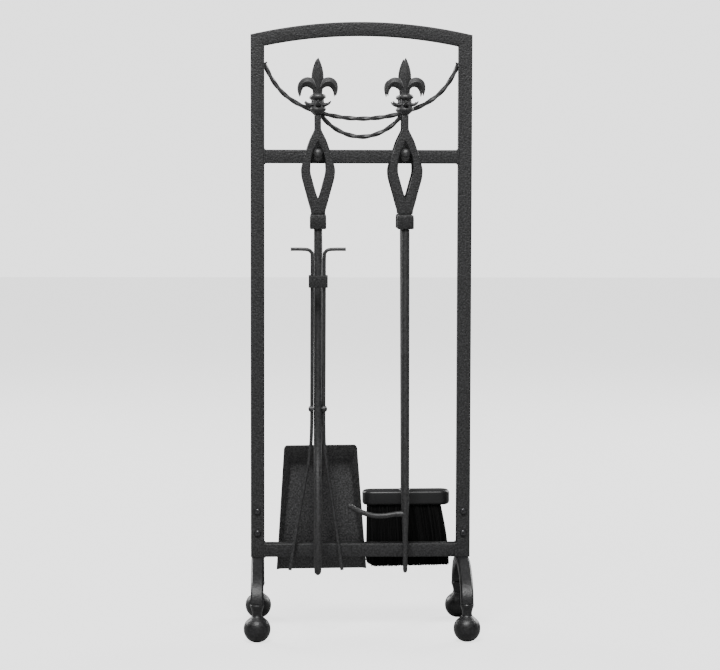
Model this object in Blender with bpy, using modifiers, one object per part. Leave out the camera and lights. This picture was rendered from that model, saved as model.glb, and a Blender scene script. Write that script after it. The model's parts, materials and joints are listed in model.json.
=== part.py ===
"""Fireplace tool set: a stand of square tube with an arched top on two cast legs, and four hanging tools.

Frame: metres, +Z up, origin on the floor midway between the four feet. +X runs to the right and -Y
to the front, where the tongs and the poker hang. The shovel and the brush hang behind them.
The tools share one handle, and each is drawn in its own tool frame: x and y from the rod's axis,
z up from the floor. An empty on the hook carries the pieces of each tool, and tilts them as they hang.
"""
import math

import bmesh
import bpy
from mathutils import Matrix, Vector

# Clearance between separate pieces
GAP = 0.0003

# Stand
TUBE = 0.0174                 # outside width of the square tube
WALL = 0.0012
TUBE_ROUND = 0.0014           # corner radius of the tube
FRAME_WIDTH = 0.280
POST_X = (FRAME_WIDTH - TUBE) / 2
STAND_HEIGHT = 0.774
ARCH_RISE = 0.016             # height of the arch's crown over its corners
FOOT_SPREAD = 0.166           # distance between the front and rear feet
FRAME_BOTTOM = 0.0945
CROSSBAR_Z = 0.6048           # centre of the hook bar
BOTTOM_BAR_Z = FRAME_BOTTOM + TUBE / 2

# Twisted swags between the uprights
SWAG_RADIUS = 0.00265
LONG_SWAG_LOW = 0.6527
LONG_SWAG_CURVE = 2.75        # rise per metre of distance squared
LONG_SWAG_LIFT = 5.5e5        # further rise near the uprights, with the eighth power of distance
SHORT_SWAG_LOW = 0.6299
SHORT_SWAG_CURVE = 9.3
SHORT_SWAG_LIFT = 7.6e7
SHORT_SWAG_HALF = 0.0478

# Cast legs and turned feet
LEG_WIDTH = 0.016
LEG_THICK = 0.0115
LEG_CHAMFER = 0.0022
LEG_BOTTOM = 0.0473
TONGUE_THICK = 0.006
TONGUE_TOP = 0.166
FOOT_TOP = LEG_BOTTOM - GAP
BALL_RADIUS = 0.0168
FOOT_FLAT = 0.005             # radius of the flat that the foot stands on

# Leg fasteners, through the upright and the tongue behind it
SCREW_HEIGHTS = {"upper": 0.1532, "lower": 0.1253}
SCREW_RADIUS = 0.0024
SCREW_HOLE = 0.0028
HEAD_RADIUS = 0.0044
HEAD_HEIGHT = 0.0026
SOCKET_RADIUS = 0.0016
NUT_RADIUS = 0.0046
NUT_THICK = 0.004

# Hooks: short round pegs that slope up and away from the crossbar
HOOK_X = 0.055
HOOK_RADIUS = 0.006
HOOK_REACH = 0.0355
HOOK_SLOPE = math.radians(12)
HOOK_ROOT_Z = 0.6025
TOOL_Y = 0.025                # distance of each tool's axis from the frame's plane
HANG_Z = HOOK_ROOT_Z + TOOL_Y * math.tan(HOOK_SLOPE)
TAB_HALF = 0.0065             # rounded tabs that stand on the crossbar between the front and rear tools
TAB_HEIGHT = 0.0112
TAB_THICK = 0.005

# Handle shared by the four tools
ROD_RADIUS = 0.0052
STEM_HALF = 0.0037
HANDLE_THICK = 0.009
HANDLE_TOP = 0.6566
HANDLE_BOTTOM = 0.5328
FERRULE_WIDTH = 0.0206
FERRULE_DEPTH = 0.016
FERRULE_BOTTOM = 0.5138
FERRULE_TOP = HANDLE_BOTTOM - GAP
ROD_TOP = FERRULE_BOTTOM - GAP
FINIAL_PLATE = 0.007

# Tongs
PIVOT_Z = 0.2865
PIVOT_RADIUS = 0.0015
PIVOT_HOLE = 0.0018
ARM_RADIUS = 0.0019
ARM_X = 0.0076
ARM_FORWARD = 0.003           # the upper arms run this far in front of the pivot's line when shut
JAW_OPEN = math.radians(7.5)
EYE_RADIUS = 0.0044
LEFT_ARM_REACH = 0.0352       # the lower ends stand this far from the rod's axis
RIGHT_ARM_REACH = 0.0312
PRONG_REACH = 0.0345
PRONG_HEIGHT = 0.2052         # above the pivot, along the arm
BRIDGE_HEIGHT = 0.1646
BRIDGE_DEEP = 0.015
BRIDGE_HALF = 0.012
BRIDGE_SHEET = 0.0024

# Poker
POKER_LEAN = math.radians(-0.15)
POKER_TIP_Z = 0.0770
POKER_TIP_RADIUS = 0.0032
SPUR_Z = 0.1522
SPUR_RADIUS = 0.0035
SPUR_ROOT = 0.0047            # where the spur starts, from the rod's axis

# Shovel
SHOVEL_LEAN = math.radians(-0.60)
PAN_SHEET = 0.0014
PAN_FLOOR_Y = -0.0068         # inner face of the pan's floor, from the rod's axis
PAN_TOP_Z = 0.2373
PAN_HEEL_Z = 0.2116           # where the back wall meets the floor
PAN_LIP_Z = 0.0754
TANG_TOP = 0.236
TANG_BOTTOM = 0.184
TANG_HALF = 0.007
TANG_THICK = 0.0035
RIVET_Z = 0.197
RIVET_RADIUS = 0.002
RIVET_HEAD = 0.0038

# Brush
BRUSH_LEAN = math.radians(-0.35)
BLOCK_LEFT = -0.0545
BLOCK_RIGHT = 0.0577
BLOCK_HALF_DEPTH = 0.0145
BLOCK_CORNER = 0.013
BLOCK_TOP = 0.1775
BLOCK_BOTTOM = 0.158
BRISTLE_BOTTOM = 0.0785
ROD_IN_BLOCK = 0.013

# Finishes: colour, roughness, metallic
STEEL = ((0.045, 0.045, 0.047), 0.62, 0.35)
CAST = ((0.035, 0.035, 0.037), 0.66, 0.35)
FASTENER = ((0.05, 0.05, 0.052), 0.38, 0.8)
PLASTIC = ((0.05, 0.05, 0.052), 0.42, 0.0)
BRISTLE = ((0.012, 0.012, 0.012), 0.7, 0.0)


# ---------------------------------------------------------------- tools

def clear_scene():
    for obj in list(bpy.data.objects):
        bpy.data.objects.remove(obj, do_unlink=True)


def new_collection(name):
    collection = bpy.data.collections.new(name)
    bpy.context.scene.collection.children.link(collection)
    return collection


def finish_of(name, look):
    colour, roughness, metallic = look
    material = bpy.data.materials.new(name + "_finish")
    material.use_nodes = True
    shader = material.node_tree.nodes["Principled BSDF"]
    shader.inputs["Base Color"].default_value = (*colour, 1.0)
    shader.inputs["Roughness"].default_value = roughness
    shader.inputs["Metallic"].default_value = metallic
    return material


def baked(obj):
    """The evaluated mesh of obj, welded, with obj itself removed."""
    bpy.context.view_layer.update()
    graph = bpy.context.evaluated_depsgraph_get()
    mesh = bpy.data.meshes.new_from_object(obj.evaluated_get(graph))
    bpy.data.objects.remove(obj, do_unlink=True)
    bm = bmesh.new()
    bm.from_mesh(mesh)
    bmesh.ops.remove_doubles(bm, verts=bm.verts, dist=0.00001)
    bmesh.ops.recalc_face_normals(bm, faces=bm.faces)
    bm.to_mesh(mesh)
    bm.free()
    return mesh


def loose(data):
    obj = bpy.data.objects.new("draft", data)
    bpy.context.scene.collection.objects.link(obj)
    return obj


def turned(profile, steps):
    """A profile of (radius, height) from top to bottom, turned about Z."""
    mesh = bpy.data.meshes.new("profile")
    verts = [(radius, 0, height) for radius, height in profile]
    mesh.from_pydata(verts, [(i, i + 1) for i in range(len(verts) - 1)], [])
    obj = loose(mesh)
    screw = obj.modifiers.new("turn", "SCREW")
    screw.axis = "Z"
    screw.steps = screw.render_steps = steps
    screw.use_merge_vertices = True
    screw.merge_threshold = 0.00001
    return baked(obj)


def plate(loops, thickness):
    """Closed outlines in XY, the later ones holes in the first, extruded evenly about z = 0."""
    curve = bpy.data.curves.new("outline", "CURVE")
    curve.dimensions = "2D"
    curve.fill_mode = "BOTH"
    curve.extrude = thickness / 2
    for points in loops:
        spline = curve.splines.new("POLY")
        spline.points.add(len(points) - 1)
        for point, (x, y) in zip(spline.points, points):
            point.co = (x, y, 0, 1)
        spline.use_cyclic_u = True
    mesh = baked(loose(curve))
    bm = bmesh.new()
    bm.from_mesh(mesh)
    bmesh.ops.dissolve_limit(bm, angle_limit=0.002, verts=bm.verts, edges=bm.edges)
    bm.to_mesh(mesh)
    bm.free()
    return mesh


def rod(points, radius, resolution=2, taper=None):
    """A round bar along points, with its ends closed; taper gives the last points' share of the radius."""
    curve = bpy.data.curves.new("rod", "CURVE")
    curve.dimensions = "3D"
    curve.bevel_depth = radius
    curve.bevel_resolution = resolution
    curve.use_fill_caps = True
    spline = curve.splines.new("POLY")
    spline.points.add(len(points) - 1)
    for point, place in zip(spline.points, points):
        point.co = (*place, 1)
    for index, share in enumerate(reversed(taper or [])):
        spline.points[-1 - index].radius = share
    return baked(loose(curve))


def block(low, high):
    low, high = Vector(low), Vector(high)
    bm = bmesh.new()
    size = Matrix.Diagonal((*(high - low), 1))
    bmesh.ops.create_cube(bm, size=1, matrix=Matrix.Translation((low + high) / 2) @ size)
    mesh = bpy.data.meshes.new("block")
    bm.to_mesh(mesh)
    bm.free()
    return mesh


def cylinder(start, end, radius, sides):
    start, end = Vector(start), Vector(end)
    turn = (end - start).to_track_quat("Z", "X").to_matrix().to_4x4()
    bm = bmesh.new()
    bmesh.ops.create_cone(
        bm, cap_ends=True, segments=sides, radius1=radius, radius2=radius,
        depth=(end - start).length, matrix=Matrix.Translation((start + end) / 2) @ turn)
    mesh = bpy.data.meshes.new("cylinder")
    bm.to_mesh(mesh)
    bm.free()
    return mesh


def trimmed(mesh, point, normal):
    """Mesh cut off on the side that normal points to, and closed there."""
    bm = bmesh.new()
    bm.from_mesh(mesh)
    geometry = bm.verts[:] + bm.edges[:] + bm.faces[:]
    cut = bmesh.ops.bisect_plane(bm, geom=geometry, plane_co=point, plane_no=normal, clear_outer=True)
    edges = [item for item in cut["geom_cut"] if isinstance(item, bmesh.types.BMEdge)]
    bmesh.ops.edgeloop_fill(bm, edges=edges)
    bmesh.ops.recalc_face_normals(bm, faces=bm.faces)
    bm.to_mesh(mesh)
    bm.free()
    return mesh


def rounded(mesh, width, segments, wanted):
    """Mesh with a round on each edge that wanted(edge) picks."""
    bm = bmesh.new()
    bm.from_mesh(mesh)
    edges = [edge for edge in bm.edges if len(edge.link_faces) == 2 and wanted(edge)]
    bmesh.ops.bevel(bm, geom=edges, offset=width, segments=segments, profile=0.5, affect="EDGES")
    bm.to_mesh(mesh)
    bm.free()
    return mesh


def along(axis):
    """Picks the long corner edges that run along axis."""
    def test(edge):
        way = edge.verts[1].co - edge.verts[0].co
        return way.length > 0.03 and abs(way.normalized()[axis]) > 0.99 and edge.calc_face_angle() > 1
    return test


def upright_plane(mesh):
    """From the outline's XY plane to the XZ plane, its front face towards -Y."""
    mesh.transform(Matrix.Rotation(math.pi / 2, 4, "X"))
    return mesh


def side_plane(mesh):
    """From the outline's XY plane to the YZ plane."""
    mesh.transform(Matrix(((0, 0, 1, 0), (1, 0, 0, 0), (0, 1, 0, 0), (0, 0, 0, 1))))
    return mesh


def arc(centre, radii, start, end, steps):
    """Points on an ellipse's arc, angles in radians from the first axis."""
    turns = [start + (end - start) * i / steps for i in range(steps + 1)]
    return [(centre[0] + radii[0] * math.cos(a), centre[1] + radii[1] * math.sin(a)) for a in turns]


def smooth(points, steps):
    """A smooth curve through the points, with steps pieces between each pair."""
    places = [Vector(point) for point in points]
    ends = [2 * places[0] - places[1], *places, 2 * places[-1] - places[-2]]
    curve = []
    for a, b, c, d in zip(ends, ends[1:], ends[2:], ends[3:]):
        for i in range(steps):
            t = i / steps
            curve.append(0.5 * (2 * b + (c - a) * t + (2 * a - 5 * b + 4 * c - d) * t ** 2
                                + (3 * b - a - 3 * c + d) * t ** 3))
    return [*curve, places[-1]]


def both_sides(half):
    """An outline from its half at x >= 0, which runs from the top to the bottom."""
    return half + [(-x, y) for x, y in reversed(half) if x > 0]


class Kit:
    """Adds objects to the set's collection, or to the cutters', under one parent."""

    def __init__(self, parts, cutters, parent=None, shift=(0, 0, 0)):
        self.parts, self.cutters, self.parent, self.shift = parts, cutters, parent, shift

    def place(self, obj, collection):
        collection.objects.link(obj)
        obj.parent = self.parent
        obj.location = self.shift
        return obj

    def part(self, name, mesh, look, smooth_shaded=True):
        obj = self.place(bpy.data.objects.new(name, mesh), self.parts)
        mesh.materials.clear()
        mesh.materials.append(finish_of(name, look))
        if smooth_shaded:
            mesh.shade_smooth()
            mesh.set_sharp_from_angle(angle=math.radians(35))
        return obj

    def boolean(self, obj, name, mesh, operation="DIFFERENCE"):
        cutter = self.place(bpy.data.objects.new(name, mesh), self.cutters)
        cutter.hide_render = True
        cutter.display_type = "WIRE"
        modifier = obj.modifiers.new(name, "BOOLEAN")
        modifier.operation = operation
        modifier.solver = "EXACT"
        modifier.object = cutter


# ---------------------------------------------------------------- stand

ARCH_OUTER = ((FRAME_WIDTH / 2) ** 2 + ARCH_RISE ** 2) / (2 * ARCH_RISE)
ARCH_INNER = ARCH_OUTER - TUBE
ARCH_CENTRE_Z = STAND_HEIGHT - ARCH_OUTER
ARCH_STEPS = 20


def arch_height(radius, x):
    return ARCH_CENTRE_Z + math.sqrt(radius ** 2 - x ** 2)


def arch_band(outer, inner, outer_x, inner_x):
    """Outline of a band of the arch between two radii and two half widths."""
    centre = (0, ARCH_CENTRE_Z)
    a, b = math.asin(outer_x / outer), math.asin(inner_x / inner)
    over = arc(centre, (outer, outer), math.pi / 2 + a, math.pi / 2 - a, ARCH_STEPS)
    under = arc(centre, (inner, inner), math.pi / 2 - b, math.pi / 2 + b, ARCH_STEPS)
    return over + under


def is_arch_edge(edge):
    """Picks the arch's long edges, between its front or back and its top or underside."""
    one, two = (face.normal for face in edge.link_faces)
    flat = abs(one.y) > 0.9, abs(two.y) > 0.9
    return flat[0] != flat[1] and max(abs(one.x), abs(two.x)) < 0.3


def make_arch(kit):
    """The band runs past the uprights and is then mitred along the line that halves each corner."""
    past_the_ends = 0.150
    band = arch_band(ARCH_OUTER, ARCH_INNER, past_the_ends, past_the_ends)
    mesh = rounded(upright_plane(plate([band], TUBE)), TUBE_ROUND, 2, is_arch_edge)
    arch = kit.part("top_arch", mesh, STEEL)
    bore = arch_band(ARCH_OUTER - WALL, ARCH_INNER + WALL, 0.157, 0.157)
    kit.boolean(arch, "arch_bore", upright_plane(plate([bore], TUBE - 2 * WALL)))
    outer_x, inner_x = FRAME_WIDTH / 2, FRAME_WIDTH / 2 - TUBE
    low, high = arch_height(ARCH_INNER, inner_x), arch_height(ARCH_OUTER, outer_x)
    mitre = math.atan2(high - low, TUBE)
    for side, name in ((-1, "left_mitre"), (1, "right_mitre")):
        wedge = block((-0.05, -TUBE, -0.04), (0.05, TUBE, 0))
        wedge.transform(Matrix.Translation((side * inner_x, 0, low)) @ Matrix.Rotation(-side * mitre, 4, "Y"))
        kit.boolean(arch, name, wedge)


def make_upright(kit, side, name):
    outer_x, inner_x = FRAME_WIDTH / 2, FRAME_WIDTH / 2 - TUBE
    mitre_gap = 1.3 * GAP
    outline = [(inner_x, FRAME_BOTTOM), (outer_x, FRAME_BOTTOM),
               (outer_x, arch_height(ARCH_OUTER, outer_x) - mitre_gap),
               (inner_x, arch_height(ARCH_INNER, inner_x) - mitre_gap)]
    if side < 0:
        outline = [(-x, z) for x, z in reversed(outline)]
    mesh = rounded(upright_plane(plate([outline], TUBE)), TUBE_ROUND, 2, along(2))
    upright = kit.part(name, mesh, STEEL)
    x, half = side * POST_X, TUBE / 2 - WALL
    kit.boolean(upright, name + "_bore",
                block((x - half, -half, FRAME_BOTTOM - TUBE), (x + half, half, STAND_HEIGHT + TUBE)))
    for height_name, z in SCREW_HEIGHTS.items():
        kit.boolean(upright, f"{name}_{height_name}_hole",
                    cylinder((x, -TUBE, z), (x, TUBE, z), SCREW_HOLE, 12))


def make_bar(kit, name, z):
    end = FRAME_WIDTH / 2 - TUBE - GAP
    half = TUBE / 2
    mesh = rounded(block((-end, -half, z - half), (end, half, z + half)), TUBE_ROUND, 2, along(0))
    bar = kit.part(name, mesh, STEEL)
    bore = half - WALL
    kit.boolean(bar, name + "_bore", block((-end - TUBE, -bore, z - bore), (end + TUBE, bore, z + bore)))


def make_swags(kit):
    wall = FRAME_WIDTH / 2 - TUBE - GAP
    count = 38
    reach = wall + 0.0025
    xs = [reach * (2 * i / count - 1) for i in range(count + 1)]
    hang = [(x, 0, LONG_SWAG_LOW + LONG_SWAG_CURVE * x ** 2 + LONG_SWAG_LIFT * x ** 8) for x in xs]
    mesh = trimmed(rod(hang, SWAG_RADIUS), (wall, 0, 0), (1, 0, 0))
    kit.part("long_swag", trimmed(mesh, (-wall, 0, 0), (-1, 0, 0)), STEEL)
    count = 16
    xs = [SHORT_SWAG_HALF * (2 * i / count - 1) for i in range(count + 1)]
    dip = [(x, 0, SHORT_SWAG_LOW + SHORT_SWAG_CURVE * x ** 2 + SHORT_SWAG_LIFT * x ** 8) for x in xs]
    kit.part("short_swag", rod(dip, SWAG_RADIUS), STEEL)


def make_leg(kit, side, name):
    """A strap bent as half an ellipse from foot to foot, with a tongue that backs the upright."""
    rise = FRAME_BOTTOM - GAP - LEG_THICK / 2 - LEG_BOTTOM
    centre = (0, LEG_BOTTOM)
    outer = (FOOT_SPREAD / 2 + LEG_THICK / 2, rise + LEG_THICK / 2)
    inner = (FOOT_SPREAD / 2 - LEG_THICK / 2, rise - LEG_THICK / 2)
    near, far = TUBE / 2 + GAP, TUBE / 2 + GAP + TONGUE_THICK
    rear = arc(centre, outer, 0, math.acos(far / outer[0]), 10)
    front = arc(centre, outer, math.acos(near / outer[0]), math.pi, 12)
    outline = rear + [(far, TONGUE_TOP), (near, TONGUE_TOP)] + front + arc(centre, inner, math.pi, 0, 20)
    mesh = side_plane(plate([outline], LEG_WIDTH))
    mesh.transform(Matrix.Translation((side * POST_X, 0, 0)))
    mesh = rounded(mesh, LEG_CHAMFER, 1, lambda edge: edge.calc_face_angle() > math.radians(80)
                   and abs(edge.verts[0].co.x - edge.verts[1].co.x) < 0.001
                   and (edge.verts[0].co + edge.verts[1].co).z / 2 > LEG_BOTTOM + 0.0005)
    leg = kit.part(name, mesh, CAST)
    for height_name, z in SCREW_HEIGHTS.items():
        hole = cylinder((side * POST_X, 0, z), (side * POST_X, 2 * TUBE, z), SCREW_HOLE, 12)
        kit.boolean(leg, f"{name}_{height_name}_hole", hole)


def foot_profile():
    """Collar, waisted neck and ball, from the top down."""
    ball_z = math.sqrt(BALL_RADIUS ** 2 - FOOT_FLAT ** 2)
    shoulder = math.radians(62)
    base = -math.acos(FOOT_FLAT / BALL_RADIUS)
    neck = [(0, FOOT_TOP), (0.0084, FOOT_TOP), (0.0088, FOOT_TOP - 0.001), (0.0082, FOOT_TOP - 0.0032),
            (0.0064, FOOT_TOP - 0.008), (0.0062, FOOT_TOP - 0.0115)]
    ball = arc((0, ball_z), (BALL_RADIUS, BALL_RADIUS), shoulder, base, 7)
    return neck + ball + [(0, 0)]


def make_feet(kit):
    mesh = turned(foot_profile(), 16)
    for side, side_name in ((-1, "left"), (1, "right")):
        for end, end_name in ((-1, "front"), (1, "rear")):
            copy = mesh.copy()
            copy.transform(Matrix.Translation((side * POST_X, end * FOOT_SPREAD / 2, 0)))
            kit.part(f"{end_name}_{side_name}_foot", copy, CAST)


def make_fasteners(kit):
    """Button-head socket screws from the front, each with a nut behind the tongue."""
    seat = -TUBE / 2 - GAP
    nut_start = TUBE / 2 + TONGUE_THICK + 2 * GAP
    tip = nut_start + NUT_THICK + 0.0015
    profile = [(0, HEAD_HEIGHT), (0.0026, 0.0023), (0.0039, 0.0012), (HEAD_RADIUS, 0),
               (SCREW_RADIUS, 0), (SCREW_RADIUS, seat - tip + 0.0006), (0.0018, seat - tip), (0, seat - tip)]
    for side, side_name in ((-1, "left"), (1, "right")):
        for height_name, z in SCREW_HEIGHTS.items():
            name = f"{side_name}_{height_name}"
            place = Matrix.Translation((side * POST_X, seat, z)) @ Matrix.Rotation(math.pi / 2, 4, "X")
            mesh = turned(profile, 12)
            mesh.transform(place)
            screw = kit.part(name + "_screw", mesh, FASTENER)
            x = side * POST_X
            socket = cylinder((x, seat - 0.0011, z), (x, seat - 0.004, z), SOCKET_RADIUS, 6)
            kit.boolean(screw, name + "_socket", socket)
            nut = kit.part(name + "_nut",
                           cylinder((x, nut_start, z), (x, nut_start + NUT_THICK, z), NUT_RADIUS, 6),
                           FASTENER, smooth_shaded=False)
            kit.boolean(nut, name + "_thread", cylinder((x, 0, z), (x, 0.04, z), SCREW_HOLE, 12))


def make_hooks(kit):
    """Round pegs with domed ends, cut flush to the crossbar's front and back."""
    length = HOOK_REACH / math.cos(HOOK_SLOPE)
    profile = [(0, length), (0.003, length - 0.0006), (0.0052, length - 0.0023),
               (HOOK_RADIUS, length - 0.0048), (HOOK_RADIUS, 0), (0, 0)]
    for end, end_name in ((-1, "front"), (1, "rear")):
        for side, side_name in ((-1, "left"), (1, "right")):
            mesh = turned(profile, 16)
            mesh.transform(Matrix.Translation((side * HOOK_X, 0, HOOK_ROOT_Z))
                           @ Matrix.Rotation(-end * (math.pi / 2 - HOOK_SLOPE), 4, "X"))
            mesh = trimmed(mesh, (0, end * (TUBE / 2 + GAP), 0), (0, -end, 0))
            kit.part(f"{end_name}_{side_name}_hook", mesh, STEEL)


def make_tabs(kit):
    low = CROSSBAR_Z + TUBE / 2 + GAP
    centre = low + TAB_HEIGHT - TAB_HALF
    for side, name in ((-1, "left_hook_tab"), (1, "right_hook_tab")):
        outline = ([(side * HOOK_X - TAB_HALF, low), (side * HOOK_X + TAB_HALF, low)]
                   + arc((side * HOOK_X, centre), (TAB_HALF, TAB_HALF), 0, math.pi, 10))
        kit.part(name, upright_plane(plate([outline], TAB_THICK)), STEEL)


def make_stand(kit):
    make_arch(kit)
    make_upright(kit, -1, "left_upright")
    make_upright(kit, 1, "right_upright")
    make_bar(kit, "crossbar", CROSSBAR_Z)
    make_bar(kit, "bottom_bar", BOTTOM_BAR_Z)
    make_swags(kit)
    make_leg(kit, -1, "left_leg")
    make_leg(kit, 1, "right_leg")
    make_feet(kit)
    make_fasteners(kit)
    make_hooks(kit)
    make_tabs(kit)


# ---------------------------------------------------------------- handle

def fleur_outline():
    """Three petals: an upright one, and two that curl down to points."""
    centre = [(0, 0.7286), (0.0036, 0.7235), (0.0061, 0.7150), (0.0071, 0.7060), (0.0086, 0.7040)]
    curl = [(0.0146, 0.7055), (0.0202, 0.7028), (0.0243, 0.6966), (0.0250, 0.6890), (0.0222, 0.6800)]
    inside = [(0.0202, 0.6868), (0.0176, 0.6926), (0.0142, 0.6944), (0.0100, 0.6924), (0.0068, 0.6872)]
    return both_sides(centre + curl + inside + [(0.0064, 0.6800)])


def leaf_outline():
    return both_sides([(0.004, 0.6728), (0.0105, 0.6720), (0.0157, 0.6748), (0.0146, 0.6704),
                       (0.0100, 0.6680), (0.004, 0.6676)])


def finial_mesh():
    """Turned socket of the finial: band, recess, barrel and cup, from the top down."""
    return turned([(0, 0.6824), (0.0070, 0.6824), (0.0100, 0.6808), (0.0100, 0.6786), (0.0078, 0.6770),
                   (0.0084, 0.6745), (0.0084, 0.6672), (0.0108, 0.6652), (0.0108, 0.6632),
                   (0.0075, 0.6598), (0.0043, HANDLE_TOP + GAP), (0, HANDLE_TOP + GAP)], 16)


def handle_mesh():
    """Stem over a flat loop drawn out to a diamond, whose upper angle hangs on the hook."""
    outer = [(STEM_HALF, HANDLE_TOP), (STEM_HALF, 0.6383), (0.0056, 0.6352), (0.0113, 0.6232),
             (0.0175, 0.6040), (0.0213, 0.5895), (0.0213, 0.5820), (0.0158, 0.5602),
             (0.0124, 0.5476), (0.0089, HANDLE_BOTTOM)]
    inner = [(0, 0.6245), (0.0067, 0.6095), (0.0085, 0.6035), (0.0094, 0.5925), (0.0093, 0.5845),
             (0.0062, 0.5728), (0.0027, 0.5602), (0, 0.5515)]
    mesh = upright_plane(plate([both_sides(outer), both_sides(inner)], HANDLE_THICK))
    flat = HANDLE_THICK / 2
    return rounded(mesh, 0.0009, 1, lambda edge: all(abs(abs(v.co.y) - flat) < 0.0001 for v in edge.verts)
                   and edge.calc_face_angle() > 0.5)


def make_handle(kit, tool, meshes):
    finial = kit.part(tool + "_finial", meshes["finial"].copy(), CAST)
    kit.boolean(finial, tool + "_fleur", meshes["fleur"], "UNION")
    kit.boolean(finial, tool + "_leaves", meshes["leaves"], "UNION")
    kit.part(tool + "_handle", meshes["handle"].copy(), STEEL)
    kit.part(tool + "_ferrule", meshes["ferrule"].copy(), STEEL)


def handle_meshes():
    half_width, half_depth = FERRULE_WIDTH / 2, FERRULE_DEPTH / 2
    ferrule = block((-half_width, -half_depth, FERRULE_BOTTOM), (half_width, half_depth, FERRULE_TOP))
    fleur = upright_plane(plate([fleur_outline()], FINIAL_PLATE))
    return {
        "finial": finial_mesh(),
        "fleur": rounded(fleur, 0.0018, 1, lambda edge: edge.calc_face_angle() > 1.5
                         and abs(edge.verts[0].co.y - edge.verts[1].co.y) < 0.0001),
        "leaves": upright_plane(plate([leaf_outline()], 0.006)),
        "handle": handle_mesh(),
        "ferrule": rounded(ferrule, 0.0012, 1, lambda edge: True),
    }


# ---------------------------------------------------------------- tools on the hooks

def make_tongs(kit, pivot_kit):
    """One jaw is the long rod, which bows forward; the other is a fork that turns on a rivet through it."""
    bow = smooth([(0, 0, ROD_TOP), (0, 0, 0.38), (0, 0, 0.27), (0, -0.003, 0.232), (0, -0.014, 0.195),
                  (0, -0.0225, 0.158), (0, -0.0245, 0.122), (0, -0.0205, 0.094), (0, -0.0178, 0.0850)], 3)
    tip = [(0, -0.0168, 0.0812), (0, -0.0163, 0.0796)]
    shaft = kit.part("tongs_shaft", rod(bow + tip, ROD_RADIUS, 3, [0.92, 0.74, 0.34]), STEEL)
    bore = cylinder((-0.01, 0, PIVOT_Z), (0.01, 0, PIVOT_Z), PIVOT_HOLE, 12)
    kit.boolean(shaft, "pivot_bore", bore)
    head, inside = 0.0036, ARM_X + ARM_RADIUS + GAP
    profile = [(0, inside + 0.0022), (0.0024, inside + 0.0016), (head, inside), (PIVOT_RADIUS, inside)]
    rivet = turned(profile + [(r, -z) for r, z in reversed(profile)], 12)
    rivet.transform(Matrix.Translation((0, 0, PIVOT_Z)) @ Matrix.Rotation(math.pi / 2, 4, "Y"))
    kit.part("tongs_pivot_rivet", rivet, FASTENER)

    tilt = Matrix.Translation((0, 0, PIVOT_Z)) @ Matrix.Rotation(JAW_OPEN, 4, "X")
    arms = ((-1, "tongs_left_arm", LEFT_ARM_REACH), (1, "tongs_right_arm", RIGHT_ARM_REACH))
    for side, name, reach in arms:
        upper = [(PRONG_REACH, -ARM_FORWARD, PRONG_HEIGHT), (0.0215, -ARM_FORWARD, PRONG_HEIGHT),
                 (0.0128, -ARM_FORWARD, PRONG_HEIGHT - 0.0007), (0.0088, -ARM_FORWARD, PRONG_HEIGHT - 0.0038),
                 (ARM_X, -ARM_FORWARD, PRONG_HEIGHT - 0.0100), (ARM_X, -ARM_FORWARD, 0.150),
                 (ARM_X, -ARM_FORWARD, 0.045), (ARM_X, -0.0022, 0.022)]
        lower = [(ARM_X, 0, PIVOT_Z), (0.0078, 0.0035, 0.262)]
        for share, y, z in ((0.04, 0.0065, 0.240), (0.17, 0.0080, 0.213), (0.45, 0.0085, 0.170),
                            (0.73, 0.0085, 0.125), (1.0, 0.0065, 0.0795)):
            lower.append((ARM_X + (reach - ARM_X) * share, y, z))
        route = [tilt @ Vector(point) for point in upper] + [Vector(point) for point in lower]
        arm = pivot_kit.part(name, rod(smooth([(side * p.x, p.y, p.z) for p in route], 3), ARM_RADIUS), STEEL)
        near, far = side * (ARM_X - ARM_RADIUS), side * (ARM_X + ARM_RADIUS)
        eye = cylinder((near, 0, PIVOT_Z), (far, 0, PIVOT_Z), EYE_RADIUS, 16)
        pivot_kit.boolean(arm, name + "_eye", eye, "UNION")
        bore = cylinder((0, 0, PIVOT_Z), (side * 0.02, 0, PIVOT_Z), PIVOT_HOLE, 12)
        pivot_kit.boolean(arm, name + "_bore", bore)

    inner, front = BRIDGE_HALF - BRIDGE_SHEET, -0.0080
    channel = [(-BRIDGE_HALF, front), (BRIDGE_HALF, front), (BRIDGE_HALF, 0), (inner, 0),
               (inner, front + BRIDGE_SHEET), (-inner, front + BRIDGE_SHEET), (-inner, 0), (-BRIDGE_HALF, 0)]
    bridge = plate([channel], BRIDGE_DEEP)
    bridge.transform(tilt @ Matrix.Translation((0, 0, BRIDGE_HEIGHT)))
    pivot_kit.part("tongs_bridge", bridge, STEEL, smooth_shaded=False)


def make_poker(kit):
    profile = [(0, ROD_TOP), (ROD_RADIUS, ROD_TOP), (ROD_RADIUS, 0.20), (0.0040, 0.13),
               (POKER_TIP_RADIUS, POKER_TIP_Z + 0.0012), (0.0022, POKER_TIP_Z), (0, POKER_TIP_Z)]
    kit.part("poker_shaft", turned(profile, 14), STEEL)
    route = [(-SPUR_ROOT, 0, SPUR_Z), (-0.012, 0, SPUR_Z - 0.0002), (-0.026, 0, SPUR_Z - 0.0022),
             (-0.041, 0, SPUR_Z - 0.0018), (-0.0575, 0, SPUR_Z + 0.0034), (-0.0725, 0, SPUR_Z + 0.0116)]
    kit.part("poker_spur", rod(smooth(route, 3), SPUR_RADIUS), STEEL)


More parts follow.
